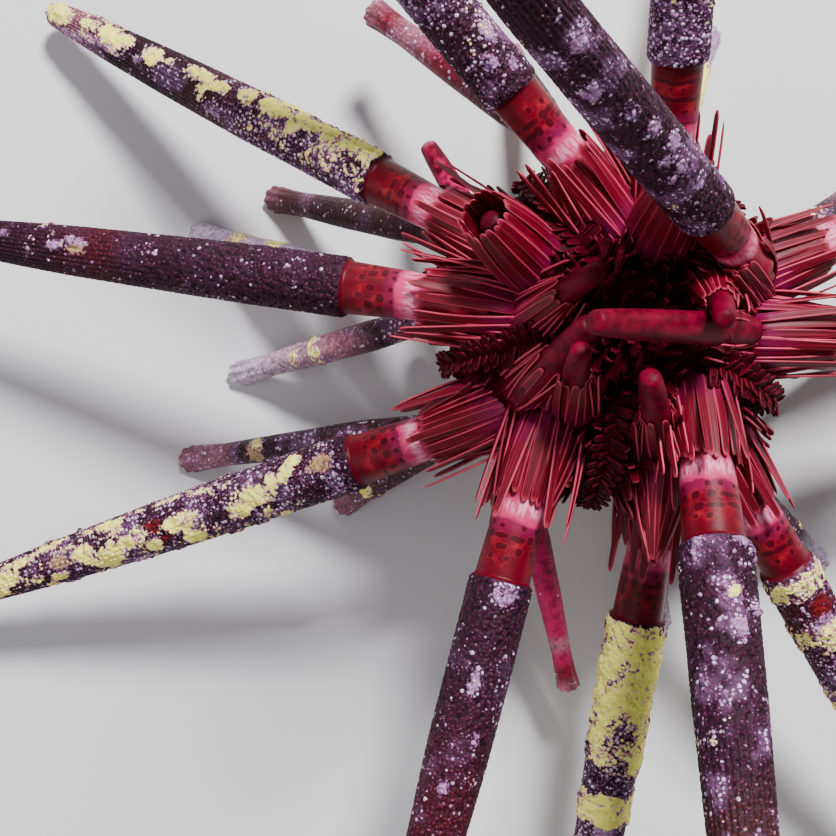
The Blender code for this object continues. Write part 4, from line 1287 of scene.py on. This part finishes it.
def skin_material():
    """Dark crimson skin of the test, paler on the peristome, with painted shade where its plates overlap.
    """
    paint = Shading("test_skin", 0.85, 0.04)
    blend = paint.blend
    cloud = paint.noise(paint.place(), 420, 4)
    grain = paint.noise(paint.place(), 2600, 3)
    colour = blend(SKIN_DARK, SKIN_RED, cloud, 0.35, 0.65)
    colour = blend(colour, SKIN_FLECK, grain, 0.58, 0.75, 0, 0.6)
    colour = blend(colour, NECK_RED, paint.value("areole"), 0.2, 1, 0, 0.5)
    plates = paint.value("mouth")
    # Painted shade: darker where the peristome's plates overlap
    plates_shaded_at_overlaps = blend(SKIN_DARK, blend(NECK_RED, MOUTH_PALE, cloud, 0.3, 0.7), plates, 0.3, 0.9)
    colour = blend(colour, plates_shaded_at_overlaps, plates, 0, 0.2)
    return paint.finish(colour, paint.bump(grain, 0.12 * MM, 0.7))


def tooth_material():
    """Ivory teeth, faintly stained towards the root."""
    paint = Shading("tooth", 0.3)
    place = paint.place()
    stain = paint.add(paint.value("reach"), paint.ramp(paint.noise(place, 1500), 0.3, 0.7, -0.2, 0.2))
    colour = paint.blend(TOOTH_STAIN, TOOTH_IVORY, stain, 0.1, 0.7)
    return paint.finish(colour, paint.bump(paint.noise(place, 5000, 2), 0.03 * MM, 0.4))


def plain_material(name, colour):
    """Matt stage surface with a slight unevenness."""
    paint = Shading(name, 0.9)
    darker = tuple(0.97 * part for part in colour[:3]) + (1,)
    return paint.finish(paint.mix(paint.noise(paint.place(), 30, 3), darker, colour))


# Stage

WORLD_COLOUR = (0.8, 0.8, 0.84, 1)
WORLD_STRENGTH = 0.27
FLOOR_HALF = 2
FLOOR_DROP = 0.00005
# Lamps: name, place, width and power
LAMPS = (("key", (0.1, 0.34, 0.42), 0.12, 6.3), ("fill", (-0.4, -0.15, 0.35), 0.5, 1))
LAMP_AIM = Vector((0, 0, 0.02))


def make_stage():
    """Pale floor, soft light and the camera."""
    world = bpy.data.worlds.new("studio")
    world.use_nodes = True
    sky = world.node_tree.nodes["Background"].inputs
    sky["Color"].default_value = WORLD_COLOUR
    sky["Strength"].default_value = WORLD_STRENGTH
    bpy.context.scene.world = world

    heap = Heap()
    square = np.array([[0, 0], [1, 0], [1, 1], [0, 1]], float)
    corners = np.append((2 * square - 1) * FLOOR_HALF, np.zeros((4, 1)), axis=1)
    heap.add(corners, [(np.array([[0, 1, 2, 3]]), square)], {})
    floor = heap.finish("floor", plain_material("floor", FLOOR_PALE))
    floor.location.z = -FLOOR_DROP

    for name, place, size, energy in LAMPS:
        lamp = bpy.data.lights.new(name, "AREA")
        lamp.shape = "DISK"
        lamp.size = size
        lamp.energy = energy
        light = add_to_scene(bpy.data.objects.new(name, lamp))
        light.location = place
        light.rotation_euler = (LAMP_AIM - Vector(place)).to_track_quat("-Z", "Y").to_euler()

    camera = bpy.data.cameras.new("camera")
    camera.lens = CAMERA_LENS
    camera.sensor_width = CAMERA_SENSOR
    camera.clip_start = 0.005
    camera.clip_end = 10
    viewer = add_to_scene(bpy.data.objects.new("camera", camera))
    viewer.location = CAMERA_PLACE
    bpy.context.scene.camera = viewer


def settle(piece, slot, *nodes):
    """Fix a piece to the model and hide the solids it stands for. The finish it takes, slot, is not used.
    """
    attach(piece, "root")
    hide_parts(*nodes)


def default_look(spine, chance):
    """Look of a spine that the photo doesn't show."""
    if spine.young:
        # Young spines deep in the open cups take the skin's dark colour, a painted shade where they sit
        ground = SKIN_DARK if spine.name in OPEN_FANS else YOUNG_RED
        return Look(ground=[(0, ground)], speck=[(0, 0)], grain=0)
    end = spine.length / MM
    ground = [(0, NECK_RED), (0.3 * end, BROWN), (0.7 * end, chance.choice((BROWN, UMBER, GREY_PINK))),
              (end, chance.choice((GREY_PINK, PALE_LILAC)))]
    rings = [(chance.uniform(0.4, 0.8) * end, chance.uniform(0.8, 1.8), chance.uniform(0.5, 1), 0.3)]
    return Look(ground=ground, rings=rings, speck=[(0, chance.uniform(0.05, 0.25))], blotch=0.3,
                grain=0.6)


def make_spines(spines):
    """Each large primary as a piece of its own, and the others of a sector as one or two."""
    thick = spine_material()
    thin = small_spine_material()
    smooth = young_spine_material()
    for sector in range(1, 6):
        node = f"interambulacrum_{sector}"
        small = Heap()
        young = Heap()
        for index, spine in enumerate(spine for spine in spines if spine.sector == sector):
            look = LOOKS.get(spine.name) or default_look(spine, random.Random(spine.seed))
            if spine.large:
                heap = Heap()
                add_spine(heap, spine, look, WHOLE_MAP)
                settle(heap.finish(f"primary_spine_{spine.name}", thick), "spined_test", node)
            else:
                add_spine(young if spine.young else small, spine, look, (index / 10, 0, 0.095, 1))
        settle(small.finish(f"small_spines_{sector}", thin), "spined_test", node)
        settle(young.finish(f"young_spines_{sector}", smooth), "spined_test", node)


def make_blades(name, blades, material, slot, node):
    """One piece of flat spines."""
    heap = Heap()
    for blade in blades:
        add_blade(heap, blade)
    settle(heap.finish(name, material), slot, node)


def rings_of(spine):
    """Rings of flat spines that stand round a primary."""
    if spine.name in CLOSED_FANS:
        return BUD_RINGS
    if spine.name in OPEN_FANS:
        return CUP_RINGS
    if spine.large:
        return LARGE_RINGS
    return LOW_RINGS if spine.row > 3 else SMALL_RINGS


def make_flat_spines(spines):
    """Fans round the primaries, the small spines between, and those of ambulacra and apex."""
    crimson = blade_material("flat_spine", BLADE_FOOT, BLADE_DEEP, BLADE_RED, BLADE_EDGE_AND_HIGHLIGHT, 0.24)
    dark = blade_material("ambulacral_spine", SKIN_RED, SKIN_DARK, SKIN_RED, DARK_EDGE_AND_HIGHLIGHT, 0.08)
    chance = random.Random(7)
    between = fill_blades(spines, chance)
    for sector in range(1, 6):
        blades = []
        for spine in spines:
            if spine.sector == sector:
                others = [] if spine.name in CLOSED_FANS | OPEN_FANS else spines
                for ring in rings_of(spine):
                    blades.extend(ring_blades(spine, others, ring, chance))
        make_blades(f"flat_spines_{sector}", blades + between[sector], crimson, "spined_test",
                    f"interambulacrum_{sector}")
        make_blades(f"ambulacral_spines_{sector}", ambulacral_blades(sector, chance), dark,
                    "ambulacrum_skin", f"ambulacrum_{sector}")
    make_blades("apical_spines", apical_blades(chance), dark, "apical_plates", "apical_disc")
    make_blades("mouth_spines", mouth_blades(chance), crimson, "mouth_skin", "peristome")


make_stage()
primaries = all_spines()
skin = make_skin(primaries, skin_material())
flesh = [f"{kind}_{sector}" for kind in ("interambulacrum", "ambulacrum") for sector in range(1, 6)]
settle(skin, "ambulacrum_skin", *flesh, "apical_disc", "peristome")
make_spines(primaries)
make_flat_spines(primaries)
settle(make_teeth(tooth_material()), "tooth", "lantern_teeth")
